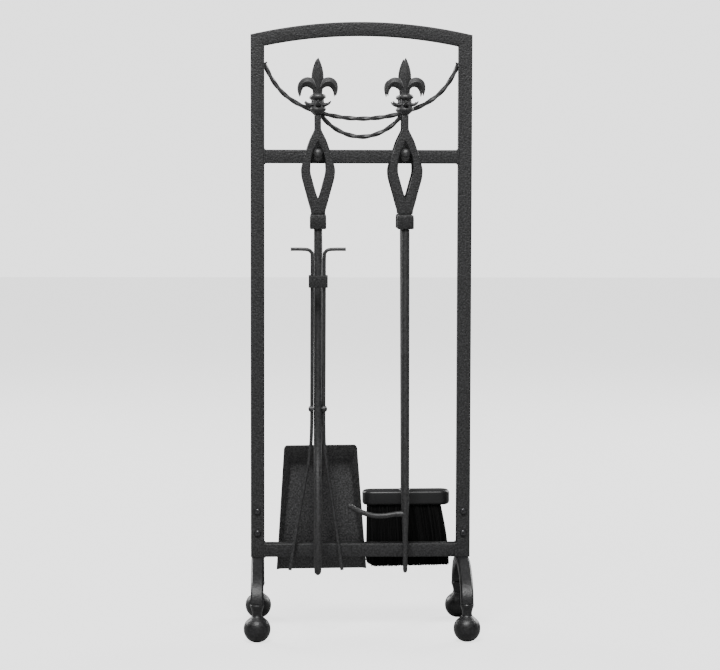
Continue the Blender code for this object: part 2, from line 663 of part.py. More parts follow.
def pan_mesh():
    """Floor, back and sides as one open sheet, from a box without its front and its lip."""
    bm = bmesh.new()
    bmesh.ops.create_cube(bm, size=2)
    open_faces = [face for face in bm.faces if face.normal.y < -0.9 or face.normal.z < -0.9]
    bmesh.ops.delete(bm, geom=open_faces, context="FACES")
    corners = {  # (rim, top): half width, depth in front of the floor, height
        (False, True): (0.0378, 0, PAN_HEEL_Z),
        (False, False): (0.0525, 0, PAN_LIP_Z),
        (True, True): (0.0455, 0.022, PAN_TOP_Z),
        (True, False): (0.0568, 0.005, PAN_LIP_Z),
    }
    for vert in bm.verts:
        half, depth, height = corners[(vert.co.y < 0, vert.co.z > 0)]
        vert.co = (math.copysign(half, vert.co.x), PAN_FLOOR_Y - depth, height)
    mesh = bpy.data.meshes.new("pan")
    bm.to_mesh(mesh)
    bm.free()
    obj = loose(mesh)
    sheet = obj.modifiers.new("sheet", "SOLIDIFY")
    sheet.thickness, sheet.offset, sheet.use_even_offset = PAN_SHEET, 1, True
    return baked(obj)


def make_shovel(kit):
    pan = kit.part("shovel_pan", pan_mesh(), STEEL)
    tang_front = PAN_FLOOR_Y + PAN_SHEET + GAP
    tang_back = tang_front + TANG_THICK
    shaft = kit.part("shovel_shaft", turned([
        (0, ROD_TOP), (ROD_RADIUS, ROD_TOP), (ROD_RADIUS, TANG_TOP - 0.006), (0.0035, TANG_TOP - 0.016),
        (0, TANG_TOP - 0.018)], 14), STEEL)
    round_end = TANG_BOTTOM + TANG_HALF
    outline = [(TANG_HALF, round_end), (TANG_HALF, TANG_TOP - 0.012), (0.0045, TANG_TOP),
               (-0.0045, TANG_TOP), (-TANG_HALF, TANG_TOP - 0.012)]
    end = arc((0, round_end), (TANG_HALF, TANG_HALF), math.pi, 2 * math.pi, 8)[:-1]
    tang = upright_plane(plate([outline + end], TANG_THICK))
    tang.transform(Matrix.Translation((0, (tang_front + tang_back) / 2, 0)))
    kit.boolean(shaft, "shovel_tang", tang, "UNION")
    for owner, name in ((pan, "pan_rivet_hole"), (shaft, "tang_rivet_hole")):
        start, end = (0, PAN_FLOOR_Y - 0.01, RIVET_Z), (0, tang_back + 0.01, RIVET_Z)
        hole = cylinder(start, end, RIVET_RADIUS + GAP, 12)
        kit.boolean(owner, name, hole)
    middle = (PAN_FLOOR_Y + tang_back) / 2
    grip = (tang_back - PAN_FLOOR_Y) / 2 + GAP
    profile = [(0, grip + 0.0022), (0.0024, grip + 0.0016), (RIVET_HEAD, grip), (RIVET_RADIUS, grip)]
    rivet = turned(profile + [(r, -z) for r, z in reversed(profile)], 12)
    rivet.transform(Matrix.Translation((0, middle, RIVET_Z)) @ Matrix.Rotation(math.pi / 2, 4, "X"))
    kit.part("shovel_rivet", rivet, FASTENER)


def block_outline():
    left, right = BLOCK_LEFT + BLOCK_CORNER, BLOCK_RIGHT - BLOCK_CORNER
    deep = BLOCK_HALF_DEPTH - BLOCK_CORNER
    corners = ((right, deep, 0), (left, deep, 1), (left, -deep, 2), (right, -deep, 3))
    points = []
    for x, y, quarter in corners:
        start = quarter * math.pi / 2
        points += arc((x, y), (BLOCK_CORNER, BLOCK_CORNER), start, start + math.pi / 2, 5)
    return points


def make_brush(kit):
    mesh = plate([block_outline()], BLOCK_TOP - BLOCK_BOTTOM)
    mesh.transform(Matrix.Translation((0, 0, (BLOCK_TOP + BLOCK_BOTTOM) / 2)))
    mesh = rounded(mesh, 0.003, 2, lambda edge: edge.calc_face_angle() > 1.5
                   and abs(edge.verts[0].co.z - edge.verts[1].co.z) < 0.0001)
    head = kit.part("brush_block", mesh, PLASTIC)
    seat = BLOCK_TOP - ROD_IN_BLOCK
    kit.boolean(head, "brush_socket",
                cylinder((0, 0, seat - GAP), (0, 0, BLOCK_TOP + 0.01), ROD_RADIUS + GAP, 14))
    rod_profile = [(0, ROD_TOP), (ROD_RADIUS, ROD_TOP), (ROD_RADIUS, seat), (0, seat)]
    kit.part("brush_shaft", turned(rod_profile, 14), STEEL)
    tuft = block((-1, -1, -1), (1, 1, 1))
    for vert in tuft.vertices:
        top, right = vert.co.z > 0, vert.co.x > 0
        x = (0.0460 if top else 0.0548) if right else (-0.0490 if top else -0.0484)
        y = math.copysign(0.011 if top else 0.0132, vert.co.y)
        vert.co = (x, y, BLOCK_BOTTOM - GAP if top else BRISTLE_BOTTOM)
    kit.part("brush_bristles", rounded(tuft, 0.003, 1, lambda edge: True), BRISTLE, smooth_shaded=False)


def new_empty(name, parts, place, lean=0.0, parent=None):
    empty = bpy.data.objects.new(name, None)
    parts.objects.link(empty)
    empty.parent = parent
    empty.location = place
    empty.rotation_euler = (0, lean, 0)
    return empty


def main():
    clear_scene()
    parts = new_collection("fireplace_tool_set")
    cutters = new_collection("cutters")
    make_stand(Kit(parts, cutters))

    meshes = handle_meshes()
    places = {"tongs": (-HOOK_X, -TOOL_Y, 0), "poker": (HOOK_X, -TOOL_Y, POKER_LEAN),
              "shovel": (-HOOK_X, TOOL_Y, SHOVEL_LEAN), "brush": (HOOK_X, TOOL_Y, BRUSH_LEAN)}
    kits = {}
    for tool, (x, y, lean) in places.items():
        hook = new_empty(tool + "_on_hook", parts, (x, y, HANG_Z), lean)
        kits[tool] = Kit(parts, cutters, hook, (0, 0, -HANG_Z))
        make_handle(kits[tool], tool, meshes)
    pivot = new_empty("tongs_pivot", parts, (0, 0, PIVOT_Z - HANG_Z), parent=kits["tongs"].parent)
    make_tongs(kits["tongs"], Kit(parts, cutters, pivot, (0, 0, -PIVOT_Z)))
    make_poker(kits["poker"])
    make_shovel(kits["shovel"])
    make_brush(kits["brush"])


main()
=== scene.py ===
"""Fireplace tool set: the finished look of the stand, its cast legs and the four tools that hang on it.

Metres, +Z up. Each tool is drawn in its own frame, x and y from the rod's axis and z up from the
floor, and is then set on its hook with the small tilt that it hangs at.
"""
import json
import math
import random

import bmesh
import bpy
from mathutils import Matrix, Vector

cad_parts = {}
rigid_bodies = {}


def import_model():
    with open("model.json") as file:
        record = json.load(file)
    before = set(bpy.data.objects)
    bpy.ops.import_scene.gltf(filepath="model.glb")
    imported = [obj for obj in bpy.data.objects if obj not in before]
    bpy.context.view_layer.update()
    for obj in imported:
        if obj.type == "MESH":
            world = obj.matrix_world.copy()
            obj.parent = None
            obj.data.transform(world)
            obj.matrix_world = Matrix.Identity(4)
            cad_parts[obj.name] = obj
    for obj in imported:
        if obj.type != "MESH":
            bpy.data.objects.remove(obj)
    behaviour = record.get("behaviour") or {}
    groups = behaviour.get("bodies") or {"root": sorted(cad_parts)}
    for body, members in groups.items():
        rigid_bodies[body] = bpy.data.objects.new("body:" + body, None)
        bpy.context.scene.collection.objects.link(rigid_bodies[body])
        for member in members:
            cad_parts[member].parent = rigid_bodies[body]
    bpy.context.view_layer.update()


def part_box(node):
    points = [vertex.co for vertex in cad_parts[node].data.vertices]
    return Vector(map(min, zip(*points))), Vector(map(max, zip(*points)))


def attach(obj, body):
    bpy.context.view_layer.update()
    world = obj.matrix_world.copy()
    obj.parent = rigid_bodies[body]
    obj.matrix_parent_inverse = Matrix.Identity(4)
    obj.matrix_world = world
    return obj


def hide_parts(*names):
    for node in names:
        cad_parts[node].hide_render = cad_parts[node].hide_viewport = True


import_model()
random.seed(11)

# ---------------------------------------------------------------- sizes from the frame

POST_LOW, POST_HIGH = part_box("right_upright")
TUBE = POST_HIGH.y - POST_LOW.y
HALF_TUBE = TUBE / 2
POST_X = (POST_LOW.x + POST_HIGH.x) / 2
FRAME_BOTTOM = POST_LOW.z
FRAME_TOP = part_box("top_arch")[1].z
INNER_X = POST_LOW.x
CROSSBAR_Z = sum(corner.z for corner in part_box("crossbar")) / 2
BOTTOM_BAR_Z = sum(corner.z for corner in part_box("bottom_bar")) / 2
LEG_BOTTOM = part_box("left_leg")[0].z
LEG_HALF_SPREAD = (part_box("rear_left_foot")[0].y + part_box("rear_left_foot")[1].y) / 2
TONGUE_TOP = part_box("left_leg")[1].z
SCREW_HEIGHTS = [sum(corner.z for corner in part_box(f"left_{row}_screw")) / 2 for row in ("upper", "lower")]
HOOK_X = sum(corner.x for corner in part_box("front_right_hook")) / 2
FERRULE_LOW, FERRULE_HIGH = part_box("tongs_ferrule")
TOOL_Y = -(FERRULE_LOW.y + FERRULE_HIGH.y) / 2
ROD_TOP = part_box("tongs_shaft")[1].z
POKER_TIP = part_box("poker_shaft")[0].z

ARCH_RISE = 0.016
ARCH_RADIUS = ((POST_HIGH.x ** 2 + ARCH_RISE ** 2) / (2 * ARCH_RISE)) - HALF_TUBE   # of the tube's middle
ARCH_CENTRE_Z = FRAME_TOP - HALF_TUBE - ARCH_RADIUS
HOOK_SLOPE = math.radians(12)
HOOK_ROOT_Z = 0.6025
HOOK_RADIUS = 0.006
HOOK_REACH = 0.0355
HANG_Z = HOOK_ROOT_Z + TOOL_Y * math.tan(HOOK_SLOPE)
ROD = 0.0052
ROD_END = [(ROD - 0.0005, ROD_TOP), (ROD, ROD_TOP - 0.0005)]
PIVOT_Z = sum(corner.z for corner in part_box("tongs_pivot_rivet")) / 2
JAW_OPEN = math.radians(7.5)
ARM_X = 0.0076                # each fork arm from the rod's axis


def on_hook(x, y, lean=0.0):
    """From a tool's own frame to its place on the hook."""
    return (Matrix.Translation((x, y, HANG_Z)) @ Matrix.Rotation(math.radians(lean), 4, "Y")
            @ Matrix.Translation((0, 0, -HANG_Z)))


PLACES = {
    "tongs": on_hook(-HOOK_X, -TOOL_Y),
    "poker": on_hook(HOOK_X, -TOOL_Y, -0.15),
    "shovel": on_hook(-HOOK_X, TOOL_Y, -0.60),
    "brush": on_hook(HOOK_X, TOOL_Y, -0.35),
}


# ---------------------------------------------------------------- materials

def socket_of(group, label, kind, way, default=None):
    made = group.interface.new_socket(label, in_out=way, socket_type=kind)
    if default is not None:
        made.default_value = default
    return made


def grain_group():
    """Pebbled paint: a height for the bump, a tone for the colour and a slow cloud for the roughness."""
    group = bpy.data.node_groups.new("pebble_grain", "ShaderNodeTree")
    socket_of(group, "Vector", "NodeSocketVector", "INPUT")
    socket_of(group, "Pebbles per metre", "NodeSocketFloat", "INPUT", 520.0)
    socket_of(group, "Clouds per metre", "NodeSocketFloat", "INPUT", 26.0)
    for label in ("Height", "Tone", "Cloud"):
        socket_of(group, label, "NodeSocketFloat", "OUTPUT")
    nodes, links = group.nodes, group.links
    enter, leave = nodes.new("NodeGroupInput"), nodes.new("NodeGroupOutput")
    cells = nodes.new("ShaderNodeTexVoronoi")
    cells.feature = "SMOOTH_F1"
    cells.inputs["Smoothness"].default_value = 0.6
    fine = nodes.new("ShaderNodeTexNoise")
    fine.inputs["Detail"].default_value = 3.0
    fine.inputs["Roughness"].default_value = 0.6
    cloud = nodes.new("ShaderNodeTexNoise")
    cloud.inputs["Detail"].default_value = 4.0
    scales = ((cells, "Pebbles per metre"), (fine, "Pebbles per metre"), (cloud, "Clouds per metre"))
    for texture, label in scales:
        links.new(enter.outputs["Vector"], texture.inputs["Vector"])
        links.new(enter.outputs[label], texture.inputs["Scale"])
    blend = nodes.new("ShaderNodeMath")
    blend.operation = "MULTIPLY_ADD"
    blend.inputs[1].default_value = 0.6
    links.new(cells.outputs["Distance"], blend.inputs[0])
    links.new(fine.outputs["Fac"], blend.inputs[2])
    tone = nodes.new("ShaderNodeMapRange")
    tone.inputs["From Min"].default_value = 0.38
    tone.inputs["From Max"].default_value = 0.66
    links.new(fine.outputs["Fac"], tone.inputs["Value"])
    links.new(blend.outputs[0], leave.inputs["Height"])
    links.new(tone.outputs["Result"], leave.inputs["Tone"])
    links.new(cloud.outputs["Fac"], leave.inputs["Cloud"])
    return group


def painted(name, dark, light, rough, bump, pebbles, metallic=0.0, clouds=26.0, specular=0.5):
    """A black finish: colour between dark and light over the grain, roughness between the two of rough."""
    material = bpy.data.materials.new(name)
    material.use_nodes = True
    nodes, links = material.node_tree.nodes, material.node_tree.links
    shader = nodes["Principled BSDF"]
    place = nodes.new("ShaderNodeTexCoord")
    grain = nodes.new("ShaderNodeGroup")
    grain.node_tree = GRAIN
    grain.inputs["Pebbles per metre"].default_value = pebbles
    grain.inputs["Clouds per metre"].default_value = clouds
    links.new(place.outputs["Object"], grain.inputs["Vector"])
    colour = nodes.new("ShaderNodeMix")
    colour.data_type = "RGBA"
    colour.inputs["A"].default_value = (*dark, 1)
    colour.inputs["B"].default_value = (*light, 1)
    links.new(grain.outputs["Tone"], colour.inputs["Factor"])
    links.new(colour.outputs["Result"], shader.inputs["Base Color"])
    gloss = nodes.new("ShaderNodeMapRange")
    gloss.inputs["From Min"].default_value = 0.3
    gloss.inputs["From Max"].default_value = 0.7
    gloss.inputs["To Min"].default_value, gloss.inputs["To Max"].default_value = rough
    links.new(grain.outputs["Cloud"], gloss.inputs["Value"])
    links.new(gloss.outputs["Result"], shader.inputs["Roughness"])
    relief = nodes.new("ShaderNodeBump")
    relief.inputs["Strength"].default_value = 1.0
    relief.inputs["Distance"].default_value = bump
    links.new(grain.outputs["Height"], relief.inputs["Height"])
    links.new(relief.outputs["Normal"], shader.inputs["Normal"])
    shader.inputs["Metallic"].default_value = metallic
    shader.inputs["Specular IOR Level"].default_value = specular
    return material


GRAIN = grain_group()
POWDER = painted("hammered_powder_coat", (0.005, 0.005, 0.0052), (0.026, 0.026, 0.027),
                 (0.48, 0.62), 0.0006, 480, specular=0.34)
FORGED = painted("forged_black_paint", (0.009, 0.009, 0.0092), (0.032, 0.032, 0.033),
                 (0.42, 0.58), 0.0003, 460, specular=0.42)
CASTING = painted("cast_black_paint", (0.005, 0.005, 0.0052), (0.016, 0.016, 0.017),
                  (0.38, 0.54), 0.00028, 420, specular=0.36)
# The finial has the handles' black paint, made lighter. The extra lightness is painted light, a lit copy of
# that paint.
LIT_FINIAL_PAINT = painted("finial_paint_lightened_as_painted_light", (0.014, 0.014, 0.0142), (0.044, 0.044, 0.045),
                 (0.40, 0.54), 0.0002, 560, specular=0.46)
# The pan has the hammered black paint, made lighter. The grain and hammer coat are real; the extra lightness
# is painted light that brightens the pan's floor.
LIT_PAN_PAINT = painted("pan_hammer_coat_lightened_as_painted_light", (0.010, 0.010, 0.0102), (0.058, 0.058, 0.059),
              (0.46, 0.60), 0.0007, 500, specular=0.36)
BOLT_BLACK = painted("blackened_bolt", (0.030, 0.030, 0.032), (0.060, 0.060, 0.063),
                     (0.26, 0.40), 0.00005, 900, metallic=0.7)
MOULDED = painted("moulded_block", (0.009, 0.009, 0.0095), (0.014, 0.014, 0.0145),
                  (0.36, 0.44), 0.00005, 1400, specular=0.24)
FIBRE = painted("black_fibre", (0.0012, 0.0012, 0.0012), (0.004, 0.004, 0.004),
                (0.60, 0.75), 0.00002, 900, specular=0.12)


# ---------------------------------------------------------------- shells: (points, faces)

def smooth(points, steps):
    """A smooth curve through the points, with steps pieces between each pair."""
    places = [Vector(point) for point in points]
    ends = [2 * places[0] - places[1], *places, 2 * places[-1] - places[-2]]
    curve = []
    for a, b, c, d in zip(ends, ends[1:], ends[2:], ends[3:]):
        for i in range(steps):
            t = i / steps
            curve.append(0.5 * (2 * b + (c - a) * t + (2 * a - 5 * b + 4 * c - d) * t ** 2
                                + (3 * b - a - 3 * c + d) * t ** 3))
    return [*curve, places[-1]]


def arc(centre, radii, start, end, steps):
    turns = [start + (end - start) * i / steps for i in range(steps + 1)]
    return [(centre[0] + radii[0] * math.cos(a), centre[1] + radii[1] * math.sin(a)) for a in turns]


def ring(radius, sides=20):
    return [(radius * math.cos(a), radius * math.sin(a)) for a in
            (2 * math.pi * i / sides for i in range(sides))]


def rounded_box(half_u, half_v, radius, steps=4):
    """A rectangle with round corners, anticlockwise."""
    points = []
    for su, sv, quarter in ((1, 1, 0), (-1, 1, 1), (-1, -1, 2), (1, -1, 3)):
        start = quarter * math.pi / 2
        centre = (su * (half_u - radius), sv * (half_v - radius))
        points += arc(centre, (radius, radius), start, start + math.pi / 2, steps)
    return points


def stitched(rings, closed=False):
    """Faces between rings of the same length, with the ends capped unless the rings close on themselves."""
    count, size = len(rings), len(rings[0])
    points = [Vector(point) for one in rings for point in one]
    faces = []
    for i in range(count if closed else count - 1):
        here, there = i * size, (i + 1) % count * size
        faces += [(here + k, here + (k + 1) % size, there + (k + 1) % size, there + k) for k in range(size)]
    if not closed:
        faces += [tuple(range(size))[::-1], tuple(range((count - 1) * size, count * size))]
    return points, faces


def tube(route, section, first_normal=(0, 1, 0)):
    """A section carried along a route without twisting; section is a list, or a function of the share run."""
    route = [Vector(point) for point in route]
    normal, rings = Vector(first_normal), []
    for i, point in enumerate(route):
        before, after = route[max(i - 1, 0)], route[min(i + 1, len(route) - 1)]
        way = (after - before).normalized()
        normal = (normal - way * normal.dot(way)).normalized()
        side = normal.cross(way)
        flat = section(i / (len(route) - 1)) if callable(section) else section
        rings.append([point + side * u + normal * v for u, v in flat])
    return stitched(rings)


def mitred(route, section):
    """A section carried along a route in the XZ plane, with full width kept round its sharp corners."""
    across, rings = Vector((0, 1, 0)), []
    route = [Vector((x, 0, z)) for x, z in route]
    for i, point in enumerate(route):
        ways = [(b - a).normalized() for a, b in zip(route[max(i - 1, 0):], route[max(i - 1, 0) + 1:i + 2])]
        way = sum(ways, Vector()).normalized()
        side = across.cross(way)
        stretch = 1 / max(way.dot(ways[0]), 0.2)
        rings.append([point + side * u * stretch + across * v for u, v in section])
    return stitched(rings)


def lathe(profile, steps=32, flutes=0, flute_depth=0.0):
    """A profile of (radius, height) from top to bottom, turned about Z; radius 0 at both ends closes it."""
    body = [point for point in profile if point[0] > 1e-7]
    rings = []
    for radius, height in body:
        turns = [2 * math.pi * k / steps for k in range(steps)]
        reach = [radius - flute_depth * (1 - abs(math.cos(flutes * a / 2))) for a in turns]
        rings.append([(r * math.cos(a), r * math.sin(a), height) for r, a in zip(reach, turns)])
    return stitched(rings)


def moved(shell, matrix):
    return [matrix @ Vector(point) for point in shell[0]], shell[1]


def dome(radius, height, base=0.0, steps=24):
    """A button: a cap of radius and height standing on base along Z."""
    rise = arc((0, 0), (radius, height), math.pi / 2, 0, 6)
    profile = [(max(r, radius * 0.02), z) for r, z in rise] + [(radius, -base), (radius * 0.5, -base)]
    return lathe(profile, steps)


def plate(loops, thickness, edge, resolution=3):
    """Closed outlines in XY, the later ones holes, as a slab about z = 0 with edges rounded by edge."""
    curve = bpy.data.curves.new("outline", "CURVE")
    curve.dimensions, curve.fill_mode = "2D", "BOTH"
    curve.extrude, curve.bevel_depth = thickness / 2 - edge, edge
    curve.bevel_resolution, curve.offset = resolution, -edge
    for points in loops:
        spline = curve.splines.new("POLY")
        spline.points.add(len(points) - 1)
        for point, (x, y) in zip(spline.points, points):
            point.co = (x, y, 0, 1)
        spline.use_cyclic_u = True
    draft = bpy.data.objects.new("draft", curve)
    bpy.context.scene.collection.objects.link(draft)
    mesh = final_mesh(draft)
    points = [vert.co.copy() for vert in mesh.vertices]
    faces = [tuple(face.vertices) for face in mesh.polygons]
    bpy.data.meshes.remove(mesh)
    return points, faces


def final_mesh(obj):
    """The mesh that obj shows, with obj removed."""
    bpy.context.view_layer.update()
    graph = bpy.context.evaluated_depsgraph_get()
    mesh = bpy.data.meshes.new_from_object(obj.evaluated_get(graph))
    bpy.data.objects.remove(obj, do_unlink=True)
    return mesh


UPRIGHT = Matrix.Rotation(math.pi / 2, 4, "X")     # an outline's y becomes height


def mesh_of(shells, place=None):
    bm = bmesh.new()
    for points, faces in shells:
        made = [bm.verts.new(point) for point in points]
        for face in faces:
            bm.faces.new([made[i] for i in face])
    bmesh.ops.remove_doubles(bm, verts=bm.verts, dist=0.000002)
    bmesh.ops.recalc_face_normals(bm, faces=bm.faces)
    mesh = bpy.data.meshes.new("shells")
    bm.to_mesh(mesh)
    bm.free()
    if place is not None:
        mesh.transform(place)
    return mesh


def show(name, mesh, material, body, nodes=(), sharp=38):
    """Adds a finished mesh as a piece that rides on body and stands for nodes."""
    mesh.materials.clear()
    mesh.materials.append(material)
    mesh.shade_smooth()
    mesh.set_sharp_from_angle(angle=math.radians(sharp))
    obj = bpy.data.objects.new(name, mesh)
    bpy.context.scene.collection.objects.link(obj)
    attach(obj, body)
    if nodes:
        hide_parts(*nodes)
    return obj


# ---------------------------------------------------------------- geometry nodes

class Growth:
    """A geometry node tree with named inputs, run once on a source mesh."""

    def __init__(self, name, inputs):
        self.tree = bpy.data.node_groups.new(name, "GeometryNodeTree")
        socket_of(self.tree, "Geometry", "NodeSocketGeometry", "INPUT")
        self.ids = {label: socket_of(self.tree, label, kind, "INPUT").identifier for label, kind in inputs}
        socket_of(self.tree, "Geometry", "NodeSocketGeometry", "OUTPUT")
        self.enter = self.add("NodeGroupInput")
        self.leave = self.add("NodeGroupOutput")

    def add(self, kind, links=None, values=None, **settings):
        """A node with its settings, its inputs' values, and links from other nodes' sockets."""
        node = self.tree.nodes.new(kind)
        for name, value in settings.items():
            setattr(node, name, value)
        for label, value in (values or {}).items():
            node.inputs[label].default_value = value
        for label, source in (links or {}).items():
            self.tree.links.new(source, node.inputs[label])
        return node

    def close(self, geometry):
        """Ends the tree in Realize Instances and Set Material."""
        real = self.add("GeometryNodeRealizeInstances", {"Geometry": geometry})
        painted_faces = self.add("GeometryNodeSetMaterial", {
            "Geometry": real.outputs["Geometry"], "Material": self.enter.outputs["Material"]})
        self.tree.links.new(painted_faces.outputs["Geometry"], self.leave.inputs["Geometry"])

    def run(self, source, values):
        """The mesh that the tree makes from a source mesh."""
        obj = bpy.data.objects.new("source", source)
        bpy.context.scene.collection.objects.link(obj)
        modifier = obj.modifiers.new("growth", "NODES")
        modifier.node_group = self.tree
        for label, value in values.items():
            modifier[self.ids[label]] = value
        return final_mesh(obj)


def twisted_bar_tree():
    """A square bar along the source's line, twisted evenly."""
    g = Growth("twisted_square_bar", [
        ("Side", "NodeSocketFloat"), ("Corner", "NodeSocketFloat"),
        ("Twist per metre", "NodeSocketFloat"), ("Material", "NodeSocketMaterial")])
    line = g.add("GeometryNodeMeshToCurve", {"Mesh": g.enter.outputs["Geometry"]})
    run = g.add("GeometryNodeSplineParameter")
    turn = g.add("ShaderNodeMath", {0: run.outputs["Length"], 1: g.enter.outputs["Twist per metre"]},
                 operation="MULTIPLY")
    tilted = g.add("GeometryNodeSetCurveTilt", {"Curve": line.outputs["Curve"], "Tilt": turn.outputs[0]})
    square = g.add("GeometryNodeCurvePrimitiveQuadrilateral", {
        "Width": g.enter.outputs["Side"], "Height": g.enter.outputs["Side"]})
    eased = g.add("GeometryNodeFilletCurve", {"Curve": square.outputs["Curve"],
                                              "Radius": g.enter.outputs["Corner"]}, {"Count": 2}, mode="POLY")
    bar = g.add("GeometryNodeCurveToMesh", {"Curve": tilted.outputs["Curve"],
                                            "Profile Curve": eased.outputs["Curve"]}, {"Fill Caps": True})
    g.close(bar.outputs["Mesh"])
    return g


def scattered_tree():
    """A shape set on each point of the source."""
    g = Growth("set_on_points", [("Shape", "NodeSocketObject"), ("Material", "NodeSocketMaterial")])
    shape = g.add("GeometryNodeObjectInfo", {"Object": g.enter.outputs["Shape"]})
    placed = g.add("GeometryNodeInstanceOnPoints", {"Points": g.enter.outputs["Geometry"],
                                                    "Instance": shape.outputs["Geometry"]})
    g.close(placed.outputs["Instances"])
    return g


def set_on_points(shells, places, material):
    """One mesh with a copy of the shells at each place."""
    shape = bpy.data.objects.new("shape", mesh_of(shells))
    bpy.context.scene.collection.objects.link(shape)
    points = bpy.data.meshes.new("points")
    points.from_pydata(places, [], [])
    mesh = SCATTER.run(points, {"Shape": shape, "Material": material})
    bpy.data.objects.remove(shape, do_unlink=True)
    return mesh


def bristle_tree():
    """Fibres hung from a grid of holes, splayed towards one end and a little uneven in length."""
    g = Growth("bristle_field", [("Width", "NodeSocketFloat"), ("Depth", "NodeSocketFloat"),
                                 ("Length", "NodeSocketFloat"), ("Thickness", "NodeSocketFloat"),
                                 ("Splay", "NodeSocketFloat"), ("Across", "NodeSocketInt"),
                                 ("Deep", "NodeSocketInt"), ("Seed", "NodeSocketInt"),
                                 ("Material", "NodeSocketMaterial")])
    inputs = g.enter.outputs
    grid = g.add("GeometryNodeMeshGrid", {"Size X": inputs["Width"], "Size Y": inputs["Depth"],
                                          "Vertices X": inputs["Across"], "Vertices Y": inputs["Deep"]})
    shift = g.add("FunctionNodeRandomValue", {"Seed": inputs["Seed"]}, data_type="FLOAT_VECTOR")
    shift.inputs[0].default_value = (-0.0006, -0.0006, 0)
    shift.inputs[1].default_value = (0.0006, 0.0006, 0)
    holes = g.add("GeometryNodeSetPosition", {"Geometry": grid.outputs["Mesh"], "Offset": shift.outputs[0]})
    fibre = g.add("GeometryNodeMeshCylinder", {"Radius": inputs["Thickness"], "Depth": inputs["Length"]},
                  {"Vertices": 3, "Side Segments": 6})
    half = g.add("ShaderNodeMath", {0: inputs["Length"]}, {1: -0.5}, operation="MULTIPLY")
    down = g.add("ShaderNodeCombineXYZ", {"Z": half.outputs[0]})
    hung = g.add("GeometryNodeTransform", {"Geometry": fibre.outputs["Mesh"], "Translation": down.outputs[0]})
    share = g.add("FunctionNodeRandomValue", {"Seed": inputs["Seed"]}, data_type="FLOAT")
    share.inputs[2].default_value, share.inputs[3].default_value = 0.985, 1.0
    place = g.add("GeometryNodeInputPosition")
    hole = g.add("ShaderNodeSeparateXYZ", {0: place.outputs[0]})
    trim = g.add("ShaderNodeMapRange", {"Value": hole.outputs["X"]},
                 {"From Min": -0.047, "From Max": 0.047, "To Min": 1.0, "To Max": 0.98})
    corner = g.add("ShaderNodeMapRange", {"Value": hole.outputs["X"]},
                   {"From Min": -0.0467, "From Max": -0.0397, "To Min": 0.94, "To Max": 1.0},
                   interpolation_type="SMOOTHSTEP")
    cut = g.add("ShaderNodeMath", {0: trim.outputs["Result"], 1: corner.outputs["Result"]},
                operation="MULTIPLY")
    uneven = g.add("ShaderNodeMath", {0: cut.outputs[0], 1: share.outputs[1]}, operation="MULTIPLY")
    size = g.add("ShaderNodeCombineXYZ", {"Z": uneven.outputs[0]}, {"X": 1.0, "Y": 1.0})
    turn = g.add("FunctionNodeRandomValue", {"Seed": inputs["Seed"]}, data_type="FLOAT_VECTOR")
    turn.inputs[0].default_value = (-0.02, -0.02, 0)
    turn.inputs[1].default_value = (0.02, 0.02, 6.28)
    placed = g.add("GeometryNodeInstanceOnPoints", {
        "Points": holes.outputs["Geometry"], "Instance": hung.outputs["Geometry"],
        "Rotation": turn.outputs[0], "Scale": size.outputs[0]})
    real = g.add("GeometryNodeRealizeInstances", {"Geometry": placed.outputs["Instances"]})
    axes = g.add("ShaderNodeSeparateXYZ", {0: place.outputs[0]})
    run = g.add("ShaderNodeMath", {0: axes.outputs["Z"], 1: inputs["Length"]}, operation="DIVIDE")
    rest = g.add("ShaderNodeMath", {1: run.outputs[0]}, {0: -2.0}, operation="SUBTRACT")
    eased = g.add("ShaderNodeMath", {0: run.outputs[0], 1: rest.outputs[0]}, operation="MULTIPLY")
    end = g.add("ShaderNodeMath", {0: axes.outputs["X"], 1: inputs["Width"]}, operation="DIVIDE")
    from_left = g.add("ShaderNodeMath", {0: end.outputs[0]}, {1: 0.5}, operation="ADD")
    lean = g.add("ShaderNodeMath", {0: from_left.outputs[0], 1: inputs["Splay"]}, operation="MULTIPLY")
    aside = g.add("ShaderNodeMath", {0: lean.outputs[0], 1: eased.outputs[0]}, operation="MULTIPLY")
    out = g.add("ShaderNodeMath", {0: axes.outputs["Y"], 1: eased.outputs[0]}, operation="MULTIPLY")
    back = g.add("ShaderNodeMath", {0: out.outputs[0]}, {1: 0.18}, operation="MULTIPLY")
    offset = g.add("ShaderNodeCombineXYZ", {"X": aside.outputs[0], "Y": back.outputs[0]})
    spread = g.add("GeometryNodeSetPosition", {"Geometry": real.outputs["Geometry"],
                                               "Offset": offset.outputs[0]})
    g.close(spread.outputs["Geometry"])
    return g


TWIST = twisted_bar_tree()
SCATTER = scattered_tree()
BRISTLES = bristle_tree()


# ---------------------------------------------------------------- stand

STEEL_SLOT, CAST_SLOT, BOLT_SLOT = "hammered_black_steel", "cast_black_iron", "black_fastener"
CORNER = 0.0016
BEAD = 0.0011                 # radius of a weld's ripple
SWAGS_MEET_X = 0.0503         # where the short swag is welded under the long one


def make_frame():
    """Uprights and arched top as one mitred run of square tube."""
    section = rounded_box(HALF_TUBE, HALF_TUBE, CORNER)
    swing = math.asin(POST_X / ARCH_RADIUS)
    crown = arc((0, ARCH_CENTRE_Z), (ARCH_RADIUS, ARCH_RADIUS), math.pi / 2 + swing, math.pi / 2 - swing, 48)
    route = [(-POST_X, FRAME_BOTTOM), *crown, (POST_X, FRAME_BOTTOM)]
    show("welded_frame", mesh_of([mitred(route, section)]), POWDER, "stand",
         ["top_arch", "left_upright", "right_upright"])
    for node, z in (("crossbar", CROSSBAR_Z), ("bottom_bar", BOTTOM_BAR_Z)):
        bar = tube([(-INNER_X, 0, z), (INNER_X, 0, z)], section)
        show(node + "_tube", mesh_of([bar]), POWDER, "stand", [node])


